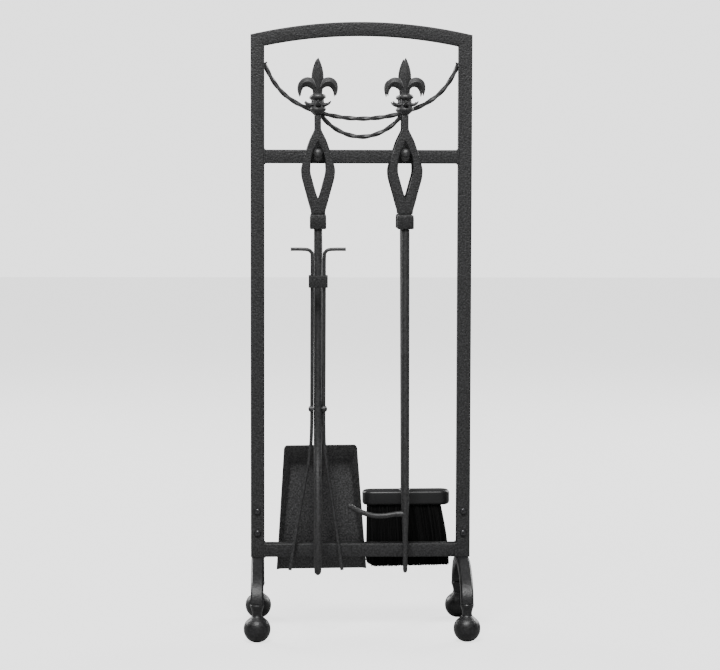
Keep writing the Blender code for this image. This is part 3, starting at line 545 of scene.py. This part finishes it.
def weld_ring(centre, half):
    """A rippled bead round a square bar where it meets an upright."""
    count = 150
    outline = rounded_box(half + BEAD * 0.2, half + BEAD * 0.2, 0.002, 6)
    loop = outline + outline[:1]
    lengths = [0.0]
    for a, b in zip(loop, loop[1:]):
        lengths.append(lengths[-1] + math.dist(a, b))
    rings = []
    for i in range(count):
        at = lengths[-1] * i / count
        k = next(j for j in range(len(outline)) if lengths[j + 1] >= at - 1e-12)
        t = (at - lengths[k]) / max(lengths[k + 1] - lengths[k], 1e-9)
        y, z = (loop[k][n] + (loop[k + 1][n] - loop[k][n]) * t for n in (0, 1))
        out = Vector((0, y, z)).normalized()
        size = BEAD * (1 + 0.10 * math.sin(2 * math.pi * i / 5) + random.uniform(-0.05, 0.05))
        rings.append([centre + Vector((u * size, y, z)) + out * v * size for u, v in ring(1, 8)])
    return stitched(rings, closed=True)


def bead(point, axis, radius, size=BEAD, sides=40):
    """A rippled bead round a bar of the given radius."""
    axis = Vector(axis).normalized()
    first = axis.orthogonal().normalized()
    second = axis.cross(first)
    rings = []
    for i in range(sides):
        a = 2 * math.pi * i / sides
        out = first * math.cos(a) + second * math.sin(a)
        r = size * (1 + 0.14 * math.sin(a * 9) + random.uniform(-0.06, 0.06))
        rings.append([Vector(point) + out * (radius + u * r) + axis * v * r for u, v in ring(1, 8)])
    return stitched(rings, closed=True)


def make_welds():
    shells = [weld_ring(Vector((side * (INNER_X - 0.0002), 0, z)), HALF_TUBE)
              for side in (-1, 1) for z in (CROSSBAR_Z, BOTTOM_BAR_Z)]
    for side in (-1, 1):
        at_wall = (side * (INNER_X - 0.0008), 0, long_swag_z(INNER_X))
        at_swag = (side * SWAGS_MEET_X, 0, short_swag_z(SWAGS_MEET_X))
        shells.append(bead(at_wall, (0.5, 0, side), 0.0023, 0.0010, 28))
        shells.append(bead(at_swag, (side * 0.6, 0, 0.8), 0.0019, 0.0008, 28))
    show("weld_beads", mesh_of(shells), FORGED, "stand")


def long_swag_z(x):
    return 0.6527 + 2.75 * x ** 2 + 5.5e5 * x ** 8


def short_swag_z(x):
    return 0.6299 + 9.3 * x ** 2 + 7.6e7 * x ** 8


def make_swags():
    """Square bars twisted a quarter turn every 18 mm, bent into hanging curves."""
    quarter_turns_per_metre = 1 / 0.018
    swags = (("long_swag", long_swag_z, INNER_X - 0.0002),
             ("short_swag", short_swag_z, SWAGS_MEET_X + 0.0002))
    for node, height, reach in swags:
        count = 260
        xs = [reach * (2 * i / count - 1) for i in range(count + 1)]
        line = bpy.data.meshes.new("line")
        line.from_pydata([(x, 0, height(x)) for x in xs], [(i, i + 1) for i in range(count)], [])
        mesh = TWIST.run(line, {"Side": 0.0046, "Corner": 0.0006,
                                "Twist per metre": quarter_turns_per_metre * math.pi / 2, "Material": FORGED})
        show(node + "_twisted", mesh, FORGED, "stand", [node], sharp=30)


def make_legs():
    """Cast straps bent from foot to foot, each with a tongue that backs its upright."""
    thick, chamfer = 0.0115, 0.0021
    rise = FRAME_BOTTOM - 0.0003 - thick / 2 - LEG_BOTTOM
    flat, steep = 0.008, thick / 2
    section = [(steep - chamfer, flat), (-steep + chamfer, flat), (-steep, flat - chamfer),
               (-steep, -flat + chamfer), (-steep + chamfer, -flat), (steep - chamfer, -flat),
               (steep, -flat + chamfer), (steep, flat - chamfer)]
    bend = arc((0, LEG_BOTTOM), (LEG_HALF_SPREAD, rise), 0, math.pi, 72)
    overlap, tongue_y = 0.006, HALF_TUBE + 0.0033
    tongue_half = (TONGUE_TOP - FRAME_BOTTOM + overlap) / 2
    tongue_outline = rounded_box(flat, tongue_half, 0.003, 5)
    for side, node in ((-1, "left_leg"), (1, "right_leg")):
        route = [(side * POST_X, y, z) for y, z in bend]
        strap = tube(route, section, (1, 0, 0))
        tongue = moved(plate([tongue_outline], 0.006, 0.0012),
                       Matrix.Translation((side * POST_X, tongue_y, TONGUE_TOP - tongue_half)) @ UPRIGHT)
        boss = tube([(side * POST_X, tongue_y, FRAME_BOTTOM - overlap),
                     (side * POST_X, tongue_y, FRAME_BOTTOM + 0.004)], rounded_box(0.0079, 0.0029, 0.001))
        show(node + "_casting", mesh_of([strap, tongue, boss]), CASTING, "stand", [node], sharp=25)


def make_feet():
    """Turned feet: flared collar, waisted neck, onion-shaped ball with a small flat under it."""
    top = LEG_BOTTOM - 0.0001
    neck = [(0.0087, top - 0.0008), (0.0083, top - 0.0030), (0.0072, top - 0.0062), (0.0064, top - 0.0095),
            (0.0061, top - 0.0120), (0.0068, top - 0.0147)]
    ball = [(0.0094, 0.0300), (0.0127, 0.0272), (0.0153, 0.0236), (0.0166, 0.0194), (0.0168, 0.0152),
            (0.0160, 0.0108), (0.0138, 0.0064), (0.0098, 0.0022), (0.0050, 0.0)]
    curve = [(p.x, max(p.y, 0.0)) for p in smooth([(r, z) for r, z in neck + ball], 5)]
    profile = [(0.0050, top), (0.0082, top), *curve, (0.003, 0.0)]
    foot = lathe(profile, 48)
    for side, side_name in ((-1, "left"), (1, "right")):
        for end, end_name in ((-1, "front"), (1, "rear")):
            place = Matrix.Translation((side * POST_X, end * LEG_HALF_SPREAD, 0))
            node = f"{end_name}_{side_name}_foot"
            show(node + "_turned", mesh_of([foot], place), CASTING, "stand", [node])


def socket_head():
    """A button head with a hex socket, its seat at the origin and its axis along -Y."""
    socket, rim, top = 0.0016, 0.0028, 0.0026
    sides = 24
    turns = [2 * math.pi * (k + 0.5) / sides for k in range(sides)]

    def hexagon(a):
        return socket * math.cos(math.pi / 6) / math.cos((a % (math.pi / 3)) - math.pi / 6)

    rings = [[(hexagon(a) * math.cos(a), hexagon(a) * math.sin(a), z) for a in turns]
             for z in (0.0009, top - 0.0001)]
    crown = ((socket * 1.12, top), (rim, top - 0.0002), (0.0037, 0.0017), (0.0043, 0.0006), (0.0044, 0.0))
    for radius, z in crown:
        rings.append([(radius * math.cos(a), radius * math.sin(a), z) for a in turns])
    return moved(stitched(rings), UPRIGHT)


def hex_nut():
    half, across = 0.002, 0.0046
    outer = [[(u * share, v * share, z) for u, v in ring(across, 6)]
             for share, z in ((0.90, half), (1.0, half - 0.0005), (1.0, -half + 0.0005), (0.90, -half))]
    return moved(stitched(outer), UPRIGHT)


def make_fasteners():
    columns = [(side * POST_X, z) for side in (-1, 1) for z in SCREW_HEIGHTS]
    front = -HALF_TUBE - 0.0002
    screws = [f"{side}_{row}_screw" for side in ("left", "right") for row in ("upper", "lower")]
    mesh = set_on_points([socket_head()], [(x, front, z) for x, z in columns], BOLT_BLACK)
    show("leg_screw_heads", mesh, BOLT_BLACK, "stand", screws, sharp=30)
    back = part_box("left_upper_nut")
    middle = (back[0].y + back[1].y) / 2
    end = lathe([(0.0008, 0.0040), (0.0019, 0.0038), (0.0024, 0.0033), (0.0024, 0.0), (0.001, 0.0)], 16)
    nut_shells = [hex_nut(), moved(end, Matrix.Rotation(-math.pi / 2, 4, "X"))]
    mesh = set_on_points(nut_shells, [(x, middle, z) for x, z in columns], BOLT_BLACK)
    nuts = [name.replace("_screw", "_nut") for name in screws]
    show("leg_nuts", mesh, BOLT_BLACK, "stand", nuts, sharp=30)


def make_hooks():
    """Sloping pegs with domed ends."""
    length = HOOK_REACH / math.cos(HOOK_SLOPE)
    cap = [(HOOK_RADIUS * math.sin(a), length - 0.0042 * (1 - math.cos(a))) for a in
           (math.pi / 2 * k / 8 for k in range(9))]
    profile = [(0.0004, length)] + cap[1:] + [(HOOK_RADIUS, 0.0), (0.003, 0.0)]
    for end, end_name in ((-1, "front"), (1, "rear")):
        for side, side_name in ((-1, "left"), (1, "right")):
            place = (Matrix.Translation((side * HOOK_X, 0, HOOK_ROOT_Z))
                     @ Matrix.Rotation(-end * (math.pi / 2 - HOOK_SLOPE), 4, "X"))
            node = f"{end_name}_{side_name}_hook"
            show(node + "_peg", mesh_of([lathe(profile, 32)], place), FORGED, "stand", [node])


def make_hook_tabs():
    """Rounded tabs that stand on the crossbar."""
    for side_name in ("left", "right"):
        node = f"{side_name}_hook_tab"
        tab_low, tab_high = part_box(node)
        half, middle = (tab_high.x - tab_low.x) / 2, (tab_low.x + tab_high.x) / 2
        root = tab_low.z - 0.0006
        outline = [(-half, root), (half, root), *arc((0, tab_high.z - half), (half, half), 0, math.pi, 20)]
        slab = moved(plate([outline], tab_high.y - tab_low.y, 0.0007),
                     Matrix.Translation((middle, 0, 0)) @ UPRIGHT)
        show(node + "_plate", mesh_of([slab]), FORGED, "stand", [node])


# ---------------------------------------------------------------- handles

def diamond(half_width, half_depth, soft=1.35, sides=24):
    """A ridged section: a rhombus eased towards an ellipse."""
    points = []
    for a in (2 * math.pi * k / sides for k in range(sides)):
        c, s = math.cos(a), math.sin(a)
        reach = (abs(c) ** soft + abs(s) ** soft) ** (-1 / soft)
        points.append((half_width * c * reach, half_depth * s * reach))
    return points


def petal(stations, soft, steps=6):
    """A ridged petal through stations of (x, z, half width, half depth) in the finial's plane."""
    fine = smooth([Vector((x, z, width)) for x, z, width, _ in stations], steps)
    depths = smooth([Vector((depth, 0, 0)) for _, _, _, depth in stations], steps)
    rings = []
    for i, spot in enumerate(fine):
        before, after = fine[max(i - 1, 0)], fine[min(i + 1, len(fine) - 1)]
        way = Vector((after.x - before.x, 0, after.y - before.y)).normalized()
        side = Vector((way.z, 0, -way.x))
        width, depth = max(spot.z, 0.0002), max(depths[i].x, 0.0002)
        centre = Vector((spot.x, 0, spot.y))
        rings.append([centre + side * u + Vector((0, 1, 0)) * v for u, v in diamond(width, depth, soft)])
    return stitched(rings)


def mirrored(shell):
    return [Vector((-p[0], p[1], p[2])) for p in shell[0]], [tuple(reversed(f)) for f in shell[1]]


def finial_mesh():
    """Lily finial, fused into one casting: spear, two curled petals, bands, leaves and fluted cup."""
    spear = petal([
        (0, 0.6822, 0.0052, 0.0044), (0, 0.6870, 0.0056, 0.0050), (0, 0.6930, 0.0063, 0.0058),
        (0, 0.7000, 0.0069, 0.0062), (0, 0.7060, 0.0070, 0.0060), (0, 0.7130, 0.0061, 0.0052),
        (0, 0.7200, 0.0042, 0.0036), (0, 0.7255, 0.0020, 0.0018), (0, 0.7284, 0.0005, 0.0005)], 1.05)
    curl = petal([
        (0.0030, 0.6915, 0.0036, 0.0042), (0.0060, 0.6955, 0.0050, 0.0046), (0.0100, 0.6981, 0.0055, 0.0048),
        (0.0148, 0.6985, 0.0055, 0.0047), (0.0190, 0.6963, 0.0049, 0.0043), (0.0214, 0.6924, 0.0037, 0.0036),
        (0.0224, 0.6880, 0.0024, 0.0028), (0.0224, 0.6840, 0.0013, 0.0018),
        (0.0220, 0.6806, 0.0004, 0.0006)], 1.0)
    leaf = petal([
        (0.0040, 0.6702, 0.0024, 0.0040), (0.0085, 0.6698, 0.0023, 0.0036), (0.0120, 0.6706, 0.0018, 0.0028),
        (0.0145, 0.6722, 0.0013, 0.0020), (0.0160, 0.6744, 0.0007, 0.0011)], 1.3)
    bands = lathe([(0.0040, 0.6835), (0.0062, 0.6832), (0.0090, 0.6820), (0.0099, 0.6803), (0.0099, 0.6789),
                   (0.0090, 0.6775), (0.0070, 0.6767), (0.0064, 0.6760), (0.0050, 0.6758)], 40)
    barrel = lathe([(0.0050, 0.6775), (0.0072, 0.6768), (0.0076, 0.6735), (0.0076, 0.6680), (0.0072, 0.6662),
                    (0.0060, 0.6655)], 48, flutes=8, flute_depth=0.0013)
    cup = lathe([(0.0050, 0.6672), (0.0084, 0.6668), (0.0098, 0.6655), (0.0102, 0.6640), (0.0097, 0.6625),
                 (0.0080, 0.6613), (0.0068, 0.6600), (0.0052, 0.6586), (0.0038, 0.6572),
                 (0.0020, 0.6570)], 40)
    side_leaf = moved(leaf, Matrix.Rotation(math.pi / 2, 4, "Z"))
    shells = [spear, curl, mirrored(curl), leaf, mirrored(leaf), side_leaf,
              moved(side_leaf, Matrix.Rotation(math.pi, 4, "Z")), bands, barrel, cup]
    mesh = mesh_of(shells)
    obj = bpy.data.objects.new("casting", mesh)
    bpy.context.scene.collection.objects.link(obj)
    fuse = obj.modifiers.new("fuse", "REMESH")
    fuse.mode, fuse.voxel_size = "VOXEL", 0.00034
    ease = obj.modifiers.new("ease", "SMOOTH")
    ease.factor, ease.iterations = 0.5, 3
    return final_mesh(obj)


def both_sides(half):
    """A closed outline from its half at x >= 0, from the top to the bottom."""
    return [(p[0], p[1]) for p in half] + [(-p[0], p[1]) for p in reversed(half) if p[0] > 1e-6]


def handle_shells():
    """Stem over a flat loop drawn out to a diamond."""
    neck, top = FERRULE_HIGH.z + 0.0001, 0.6569
    shoulder = smooth([(0.0037, 0.6410), (0.0041, 0.6384), (0.0059, 0.6345), (0.0113, 0.6232),
                       (0.0174, 0.6042), (0.0204, 0.5934), (0.0213, 0.5888), (0.0212, 0.5830),
                       (0.0202, 0.5762), (0.0158, 0.5602), (0.0124, 0.5476), (0.0094, 0.5372)], 5)
    outer = [(0.0037, top), *shoulder, (0.0089, neck)]
    window = smooth([(0.0, 0.6242), (0.0035, 0.6166), (0.0066, 0.6094), (0.0087, 0.6025), (0.0096, 0.5925),
                     (0.0093, 0.5840), (0.0064, 0.5730), (0.0029, 0.5602), (0.0, 0.5517)], 5)
    window = [(max(p[0], 0.0), p[1]) for p in window]
    return [moved(plate([both_sides(outer), both_sides(window)], 0.009, 0.0011), UPRIGHT)]


def ferrule_shells():
    """A square collar with a groove near its top and eased edges."""
    half = (FERRULE_HIGH.x - FERRULE_LOW.x) / 2
    deep = (FERRULE_HIGH.y - FERRULE_LOW.y) / 2
    low, high = FERRULE_LOW.z, FERRULE_HIGH.z
    rings = []
    steps = ((0.0014, low), (0.0004, low + 0.0004), (0, low + 0.0011), (0, high - 0.0040),
             (0.0004, high - 0.0036), (0.0004, high - 0.0030), (0, high - 0.0026),
             (0.0008, high - 0.0012), (0.0026, high - 0.0003), (0.0034, high))
    for inset, z in steps:
        rings.append([(u, v, z) for u, v in rounded_box(half - inset, deep - inset, 0.0016)])
    return [stitched(rings)]


def make_handles():
    shared = ((finial_mesh(), "finial", LIT_FINIAL_PAINT, CAST_SLOT),
              (mesh_of(handle_shells()), "handle", POWDER, STEEL_SLOT),
              (mesh_of(ferrule_shells()), "ferrule", POWDER, STEEL_SLOT))
    for tool, place in PLACES.items():
        for source, part, material, slot in shared:
            mesh = source.copy()
            mesh.transform(place)
            show(f"{tool}_{part}_forged", mesh, material, tool, [f"{tool}_{part}"])


# ---------------------------------------------------------------- tools

def shaft(profile, steps=28):
    """A round bar from its profile, with both ends closed."""
    return lathe([(0.002, profile[0][1])] + profile + [(0.0015, profile[-1][1])], steps)


def make_tongs():
    place = PLACES["tongs"]
    route = smooth([(0, 0, ROD_TOP), (0, 0, 0.38), (0, 0, 0.27), (0, -0.003, 0.232), (0, -0.014, 0.195),
                    (0, -0.0225, 0.158), (0, -0.0245, 0.122), (0, -0.0205, 0.094), (0, -0.0168, 0.0812),
                    (0, -0.0164, 0.0797)], 10)
    total = len(route) - 1

    def blunt(share):
        left = (1 - share) * total
        drawn_out = 1 - 0.30 * max(0.0, 1 - left / 22)
        return ring(ROD * drawn_out * (0.35 + 0.65 * math.sqrt(1 - (1 - min(left / 5, 1)) ** 2)), 28)

    show("tongs_rod", mesh_of([tube(route, blunt)], place), FORGED, "tongs", ["tongs_shaft"])
    inside = ARM_X + 0.0019 + 0.0002
    cap = dome(0.0037, 0.0023, 0.0006)
    heads = [moved(cap, Matrix.Translation((side * inside, 0, PIVOT_Z))
                   @ Matrix.Rotation(side * math.pi / 2, 4, "Y")) for side in (-1, 1)]
    pin = tube([(-inside, 0, PIVOT_Z), (inside, 0, PIVOT_Z)], ring(0.0015, 16))
    show("tongs_rivet_heads", mesh_of([*heads, pin], place), BOLT_BLACK, "tongs",
         ["tongs_pivot_rivet"])

    tilt = Matrix.Translation((0, 0, PIVOT_Z)) @ Matrix.Rotation(JAW_OPEN, 4, "X")
    for side, node, reach in ((-1, "tongs_left_arm", 0.0352), (1, "tongs_right_arm", 0.0312)):
        upper = [(0.0345, -0.003, 0.2052), (0.0215, -0.003, 0.2052), (0.0128, -0.003, 0.2045),
                 (0.0088, -0.003, 0.2014), (ARM_X, -0.003, 0.1952), (ARM_X, -0.003, 0.150),
                 (ARM_X, -0.003, 0.045), (ARM_X, -0.0022, 0.022)]
        lower = [(ARM_X, 0, PIVOT_Z), (0.0078, 0.0035, 0.262)]
        for share, y, z in ((0.04, 0.0065, 0.240), (0.17, 0.0080, 0.213), (0.45, 0.0085, 0.170),
                            (0.73, 0.0085, 0.125), (1.0, 0.0065, 0.0795)):
            lower.append((ARM_X + (reach - ARM_X) * share, y, z))
        points = [tilt @ Vector(p) for p in upper] + [Vector(p) for p in lower]
        arm = tube(smooth([(side * p.x, p.y, p.z) for p in points], 9), ring(0.0022, 16), (0, 1, 0.1))
        eye = moved(lathe([(0.003, 0.0019), (0.0040, 0.0019), (0.0044, 0.0015), (0.0044, -0.0015),
                           (0.0040, -0.0019), (0.003, -0.0019)], 28),
                    Matrix.Translation((side * ARM_X, 0, PIVOT_Z)) @ Matrix.Rotation(math.pi / 2, 4, "Y"))
        show(node + "_rod", mesh_of([arm, eye], place), FORGED, "tongs_fork", [node])

    inner, outer, front, sheet = 0.0096, 0.0120, -0.0080, 0.0024
    channel = [(-outer, front + 0.001), (-outer + 0.001, front), (outer - 0.001, front),
               (outer, front + 0.001), (outer, 0.0004), (inner, 0.0004), (inner, front + sheet),
               (-inner, front + sheet),
               (-inner, 0.0004), (-outer, 0.0004)]
    bridge = moved(plate([channel], 0.015, 0.0005, 2), tilt @ Matrix.Translation((0, 0, 0.1646)))
    show("tongs_bridge_clip", mesh_of([bridge], place), POWDER, "tongs_fork",
         ["tongs_bridge"], sharp=30)


def make_poker():
    place = PLACES["poker"]
    profile = [*ROD_END, (ROD, 0.19), (0.0049, 0.165), (0.0042, 0.145), (0.0036, 0.125), (0.0031, 0.10),
               (0.0029, POKER_TIP + 0.0040), (0.0025, POKER_TIP + 0.0016), (0.0018, POKER_TIP + 0.0004),
               (0.0010, POKER_TIP)]
    show("poker_rod", mesh_of([shaft(profile)], place), FORGED, "poker", ["poker_shaft"])
    z = 0.1522
    route = smooth([(-0.002, 0, z), (-0.012, 0, z - 0.0002), (-0.026, 0, z - 0.0022), (-0.041, 0, z - 0.0018),
                    (-0.0575, 0, z + 0.0034), (-0.0726, 0, z + 0.0116)], 9)
    total = len(route) - 1

    def spur_section(share):
        near_end = min((1 - share) * total, 1.0)
        root = max(0.0, 1 - share * total / 14) ** 2
        return ring(0.0033 * (0.86 + 0.14 * near_end) * (1 + 0.30 * root), 20)

    show("poker_spur_forged", mesh_of([tube(route, spur_section)], place), FORGED, "poker",
         ["poker_spur"])


PAN_FLOOR_Y = -0.0068         # inner face of the pan's floor, from the rod's axis
PAN_SHEET = 0.0014
TANG_HALF = 0.00175           # half of the flattened rod end's thickness


def pan_shell_mesh():
    """Pressed sheet: floor, back and two sides, folded with round corners and open at the lip."""
    bm = bmesh.new()
    bmesh.ops.create_cube(bm, size=2)
    open_faces = [face for face in bm.faces if face.normal.y < -0.9 or face.normal.z < -0.9]
    bmesh.ops.delete(bm, geom=open_faces, context="FACES")
    corners = {(False, True): (0.0378, 0, 0.2116), (False, False): (0.0525, 0, 0.0754),
               (True, True): (0.0455, 0.022, 0.2373), (True, False): (0.0568, 0.005, 0.0754)}
    for vert in bm.verts:
        half, depth, height = corners[(vert.co.y < 0, vert.co.z > 0)]
        vert.co = (math.copysign(half, vert.co.x), PAN_FLOOR_Y - depth, height)
    mesh = bpy.data.meshes.new("pan")
    bm.to_mesh(mesh)
    bm.free()
    obj = bpy.data.objects.new("pan", mesh)
    bpy.context.scene.collection.objects.link(obj)
    folds = obj.modifiers.new("folds", "BEVEL")
    folds.width, folds.segments, folds.limit_method = 0.0026, 5, "ANGLE"
    sheet = obj.modifiers.new("sheet", "SOLIDIFY")
    sheet.thickness, sheet.offset, sheet.use_even_offset = PAN_SHEET, 1, True
    edge = obj.modifiers.new("edge", "BEVEL")
    edge.width, edge.segments, edge.limit_method, edge.angle_limit = 0.0005, 2, "ANGLE", math.radians(50)
    return final_mesh(obj)


def make_shovel():
    place = PLACES["shovel"]
    mesh = pan_shell_mesh()
    mesh.transform(place)
    show("shovel_pan_pressed", mesh, LIT_PAN_PAINT, "shovel", ["shovel_pan"])
    tang_y = PAN_FLOOR_Y + PAN_SHEET + 0.0003 + TANG_HALF
    rod = shaft([*ROD_END, (ROD, 0.238)])
    stations = ((0.242, 0.0050, 0.0050, 0.0), (0.236, 0.0050, 0.0049, 0.0),
                (0.228, 0.0058, 0.0036, tang_y * 0.6), (0.220, 0.0068, 0.0021, tang_y),
                (0.212, 0.0070, 0.00175, tang_y), (0.194, 0.0070, 0.00175, tang_y),
                (0.189, 0.0062, 0.00175, tang_y), (0.1855, 0.0040, 0.0016, tang_y),
                (0.184, 0.0012, 0.0014, tang_y))
    rings = []
    for z, half, deep, y in stations:
        flat = diamond(half, deep, 2.0 + 3.0 * min(1.0, (0.242 - z) / 0.02), 28)
        rings.append([(u, y + v, z) for u, v in flat])
    show("shovel_rod", mesh_of([rod, stitched(rings)], place), FORGED, "shovel", ["shovel_shaft"])
    rivet_z, tang_back = 0.197, tang_y + TANG_HALF
    front = moved(dome(0.0037, 0.0022, 0.0004), Matrix.Translation((0, PAN_FLOOR_Y, rivet_z)) @ UPRIGHT)
    back = moved(dome(0.0037, 0.0022, 0.0004), Matrix.Translation((0, tang_back, rivet_z))
                 @ Matrix.Rotation(-math.pi / 2, 4, "X"))
    show("shovel_rivet_heads", mesh_of([front, back], place), BOLT_BLACK, "shovel",
         ["shovel_rivet"])


def make_brush():
    place = PLACES["brush"]
    left, right, deep, top, bottom = -0.0545, 0.0577, 0.0145, 0.1768, 0.158
    middle, half = (left + right) / 2, (right - left) / 2
    outline = [(x + middle, y) for x, y in rounded_box(half, deep, 0.0130, 12)]
    slab = moved(plate([outline], top - bottom, 0.0040, 6), Matrix.Translation((0, 0, (top + bottom) / 2)))
    show("brush_block_moulded", mesh_of([slab], place), MOULDED, "brush",
         ["brush_block"], sharp=50)
    collar = lathe([(0.004, top + 0.0016), (0.0062, top + 0.0016), (0.0070, top + 0.0010),
                    (0.0076, top - 0.0006), (0.005, top - 0.0006)], 32)
    rod = shaft([*ROD_END, (ROD, top - 0.002)])
    show("brush_rod", mesh_of([rod, collar], place), FORGED, "brush", ["brush_shaft"])

    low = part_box("brush_bristles")[0].z
    length = bottom - low + 0.0012
    left_end, width, depth, splay = -0.0482, 0.0935, 0.0214, 0.0094
    across, deep_count = ((110, 24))
    hung = Matrix.Translation((left_end + width / 2, 0, bottom + 0.0012))
    blank = bpy.data.meshes.new("blank")
    blank.from_pydata([(0, 0, 0)], [], [])
    fibres = BRISTLES.run(blank, {"Width": width, "Depth": depth, "Length": length, "Thickness": 0.00042,
                                  "Splay": splay, "Across": across, "Deep": deep_count, "Seed": 7,
                                  "Material": FIBRE})
    fibres.transform(place @ hung)
    show("brush_fibres", fibres, FIBRE, "brush", ["brush_bristles"], sharp=80)
    inset = 0.0022
    rings = []
    for share in (0.0, 0.25, 0.5, 0.75, 0.90):
        ease = share * (2 - share)
        a, b = left_end + inset, left_end + width - inset + splay * ease
        flat = rounded_box((b - a) / 2, depth / 2 * (1 + 0.18 * ease) - inset * 0.8, 0.004)
        rings.append([((a + b) / 2 + u, v, bottom + 0.0010 - length * share) for u, v in flat])
    show("brush_fibre_core", mesh_of([stitched(rings)], place), FIBRE, "brush", sharp=80)


# ---------------------------------------------------------------- room, light and camera

ROOM_LIGHT, ROOM_SEEN, FLOOR_GLOW = 0.12, 2.3, 1.9


def make_stage():
    """A pale floor and a pale room that lights the set only softly."""
    bpy.ops.mesh.primitive_plane_add(size=14, location=(0, 2, -0.0004))
    floor = bpy.context.object
    floor.name = "pale_floor"
    material = bpy.data.materials.new("pale_floor")
    material.use_nodes = True
    shader = material.node_tree.nodes["Principled BSDF"]
    shader.inputs["Base Color"].default_value = (0.30, 0.30, 0.30, 1)
    shader.inputs["Roughness"].default_value = 0.9
    shader.inputs["Specular IOR Level"].default_value = 0.0
    shader.inputs["Emission Color"].default_value = (1, 1, 1, 1)
    sight = material.node_tree.nodes.new("ShaderNodeLightPath")
    seen = material.node_tree.nodes.new("ShaderNodeMath")
    seen.operation = "MULTIPLY"
    seen.inputs[1].default_value = FLOOR_GLOW
    material.node_tree.links.new(sight.outputs["Is Camera Ray"], seen.inputs[0])
    material.node_tree.links.new(seen.outputs[0], shader.inputs["Emission Strength"])
    floor.data.materials.append(material)
    world = bpy.data.worlds.new("soft_room")
    world.use_nodes = True
    nodes, links = world.node_tree.nodes, world.node_tree.links
    background = nodes["Background"]
    background.inputs["Color"].default_value = (1, 1, 1, 1)
    sight = nodes.new("ShaderNodeLightPath")
    strength = nodes.new("ShaderNodeMapRange")
    strength.inputs["To Min"].default_value, strength.inputs["To Max"].default_value = ROOM_LIGHT, ROOM_SEEN
    links.new(sight.outputs["Is Camera Ray"], strength.inputs["Value"])
    links.new(strength.outputs["Result"], background.inputs["Strength"])
    bpy.context.scene.world = world


def lamp(name, place, aim, size, power):
    data = bpy.data.lights.new(name, "AREA")
    data.shape, data.size, data.size_y, data.energy = "RECTANGLE", size[0], size[1], power
    obj = bpy.data.objects.new(name, data)
    obj.location = place
    obj.rotation_euler = (Vector(aim) - Vector(place)).to_track_quat("-Z", "Y").to_euler()
    bpy.context.scene.collection.objects.link(obj)


def make_camera():
    data = bpy.data.cameras.new("camera")
    data.sensor_width, data.lens = 36, 124.1
    camera = bpy.data.objects.new("camera", data)
    camera.location = (-0.1000, -3.150, 0.610)
    yaw, pitch, roll = math.radians(1.80), math.radians(4.205), math.radians(0.139)
    camera.rotation_euler = (Matrix.Rotation(-yaw, 3, "Z") @ Matrix.Rotation(math.pi / 2 - pitch, 3, "X")
                             @ Matrix.Rotation(roll, 3, "Z")).to_euler()
    bpy.context.scene.collection.objects.link(camera)
    bpy.context.scene.camera = camera


make_camera()
make_stage()
lamp("key", (-0.3, -1.95, 3.05), (0, 0, 0.40), (1.2, 0.9), 215)
lamp("front", (0.1, -3.6, 0.9), (0, 0, 0.40), (1.6, 1.6), 8)
for side, side_name in ((-1, "left"), (1, "right")):
    lamp(f"rear_{side_name}", (side * 2.3, 2.2, 1.7), (0, 0, 0.35), (1.4, 1.8), 130)
make_frame()
make_swags()
make_welds()
make_legs()
make_feet()
make_fasteners()
make_hooks()
make_hook_tabs()
make_handles()
make_tongs()
make_poker()
make_shovel()
make_brush()
